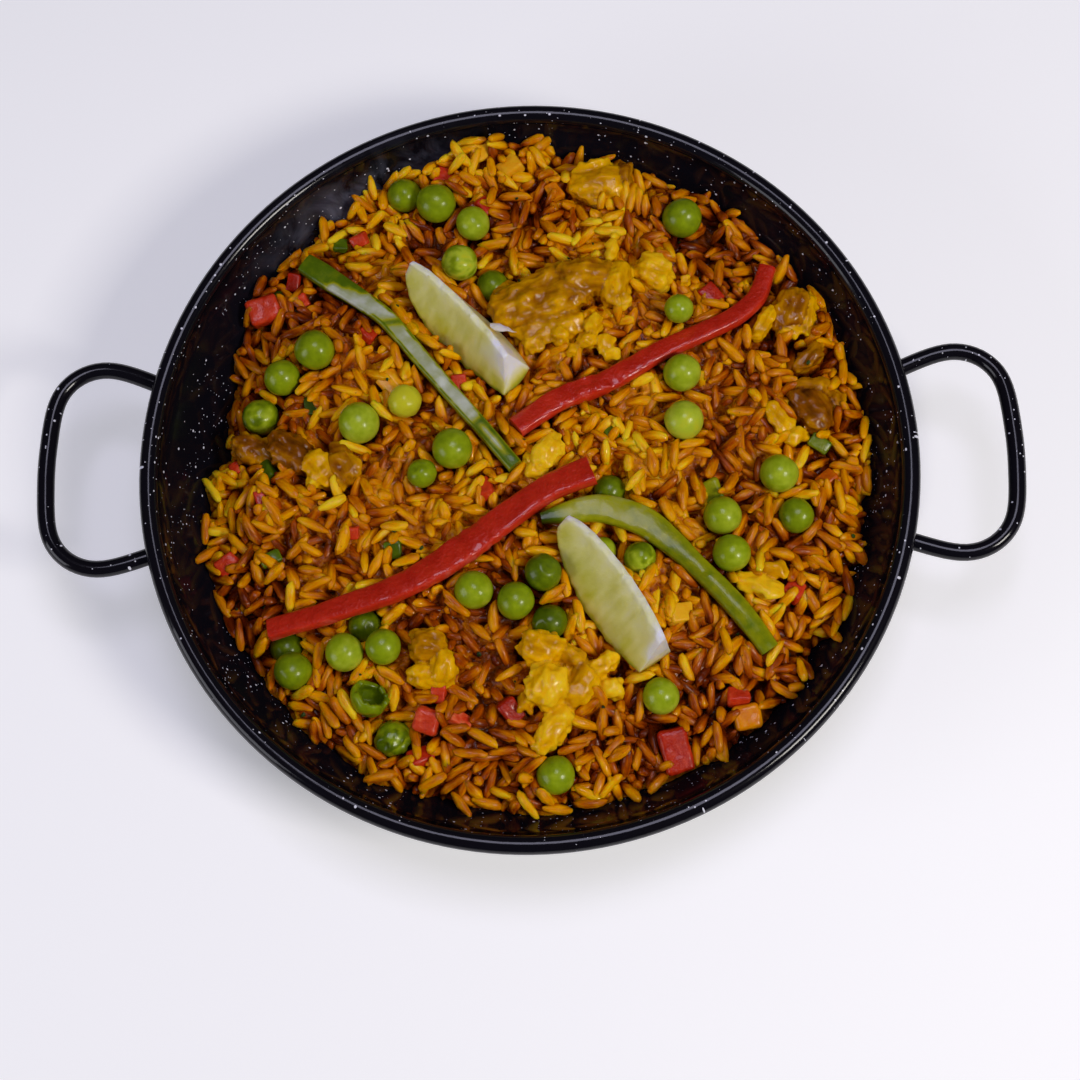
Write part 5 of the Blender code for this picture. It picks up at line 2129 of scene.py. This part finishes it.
@dataclass
class Studio:
    """A pale floor, soft lights and the camera."""

    target: Triple = (2.8, -20.0, 30.0)
    azimuth: float = math.radians(5.77)
    elevation: float = math.radians(75.34)
    roll: float = math.radians(-6.71)
    distance: float = 435.8
    lens: float = 56.67
    sensor: float = 36.0
    floor_side: float = 6000.0
    floor_glow: float = 0.3
    sky: float = 0.035
    # The main light over the near right corner, one overhead whose image runs along the rim, and a low
    # weak one on the left, which lights the limes' left faces.
    boxes: tuple[SoftBox, ...] = (
        SoftBox("soft_box_right", (520.0, -300.0, 620.0), 220.0, 3.3, "#fffaf2"),
        SoftBox("soft_box_overhead", (60.0, 120.0, 950.0), 360.0, 2.6, "#e6e3ff"),
        SoftBox("soft_box_left", (-700.0, -330.0, 330.0), 420.0, 1.8, "#f4f4ff"),
    )

    def build(self) -> None:
        """Sets the stage."""
        self.build_floor()
        self.build_camera()
        self.build_world()
        for box in self.boxes:
            self.build_light(box)

    def build_floor(self) -> None:
        """A plain pale floor."""
        bpy.ops.mesh.primitive_plane_add(size=self.floor_side * MM, location=(0, 0, -0.1 * MM))
        floor = new_primitive()
        floor.name = "floor"
        material = bpy.data.materials.new("matt white paper")
        material.use_nodes = True
        shader = material.node_tree.nodes["Principled BSDF"]
        look = {"Base Color": linear("#f6f6f6"), "Roughness": 0.9, "Emission Color": linear("#f4f4fa")}
        set_inputs(shader, {**look, "Emission Strength": self.floor_glow})
        floor.data.materials.append(material)
        floor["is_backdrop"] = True

    def build_camera(self) -> None:
        """A camera that looks down over the near edge of the pan."""
        low = math.cos(self.elevation)
        back = Vector((math.sin(self.azimuth) * low, -math.cos(self.azimuth) * low, 0.0))
        back.z = math.sin(self.elevation)
        right = Vector((math.cos(self.azimuth), math.sin(self.azimuth), 0.0))
        up = back.cross(right)
        turned_right = right * math.cos(self.roll) + up * math.sin(self.roll)
        turned_up = up * math.cos(self.roll) - right * math.sin(self.roll)
        data = bpy.data.cameras.new("camera")
        data.lens = self.lens
        data.sensor_width = self.sensor
        data.clip_end = 20.0
        camera = link(bpy.data.objects.new("camera", data))
        place = (Vector(self.target) + back * self.distance) * MM
        axes = Matrix((turned_right, turned_up, back)).transposed().to_4x4()
        camera.matrix_world = Matrix.Translation(place) @ axes
        bpy.context.scene.camera = camera

    def build_world(self) -> None:
        """Even light from all round, a little blue."""
        world = bpy.data.worlds.new("studio")
        bpy.context.scene.world = world
        world.use_nodes = True
        look = {"Color": linear("#e4e5f2"), "Strength": self.sky}
        set_inputs(world.node_tree.nodes["Background"], look)

    def build_light(self, box: SoftBox) -> None:
        """Hangs one soft box so that it faces the food.

        Args:
            box: The soft box.
        """
        data = bpy.data.lights.new(box.name, "AREA")
        data.shape = "SQUARE"
        data.size = box.side * MM
        data.energy = box.power
        data.color = linear(box.colour)[:3]
        light = link(bpy.data.objects.new(box.name, data))
        light.location = Vector(box.place) * MM
        aim = Vector((0.0, 0.0, 30.0 * MM)) - light.location
        light.rotation_euler = aim.to_track_quat("-Z", "Y").to_euler()


# --- main


def main() -> None:
    """Builds the pan, the toppings, the rice among them and the stage."""
    logging.basicConfig(level=logging.INFO, format="%(name)s: %(message)s")
    bpy.context.scene.view_settings.view_transform = "Standard"
    choose(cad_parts["pan"])
    pan = Pan()
    pan.build()
    heap = Heap(pan)
    firm = Peas().build()
    firm += [
        Strip(
            "red_strip_long", "long_strip_of_red_pepper", RED_PEPPER,
            lean=20.0, crinkle=0.62, crinkle_height=0.5,
        ).build(),
        Strip(
            "red_strip_short", "short_strip_of_red_pepper", RED_PEPPER,
            thickness=1.7, lean=16.0, crinkle=0.3, crinkle_height=0.6,
        ).build(),
        SkinnedStrip("green_strip_thin", "thin_strip_of_green_pepper", GREEN_PEPPER).build(),
        OliveStrip("green_strip_wide", "wide_strip_of_green_pepper", GREEN_PEPPER, ridge=0.9).build(),
        LimeWedge("lime_wedge_far", "far_wedge_of_lime", 4.9, 12.0, 3.5, 0.13, SPUR).build(),
        LimeWedge("lime_wedge_near", "near_wedge_of_lime", 2.2, 2.0, 5.5, 0.06).build(),
    ]
    meat = [piece.build() for piece in chicken_pieces(heap)]
    dice = [piece.build() for piece in [*large_dice(), *small_bits(heap)]]
    tree = tree_of(firm)
    heap.lay_bed(tree, tree_of(meat + dice))
    Rice(heap, tree).build()
    grains = [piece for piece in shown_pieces() if "rice" in piece.name]
    surface = tree_of(meat + grains)
    Specks(surface, "chopped_parsley", 34, (1.0, 2.2), 0.6, 41).build()
    Specks(surface, "ground_pepper", 100, (0.3, 0.55), 0.1, 42).build()
    Studio().build()


if __name__ == "__main__":
    main()
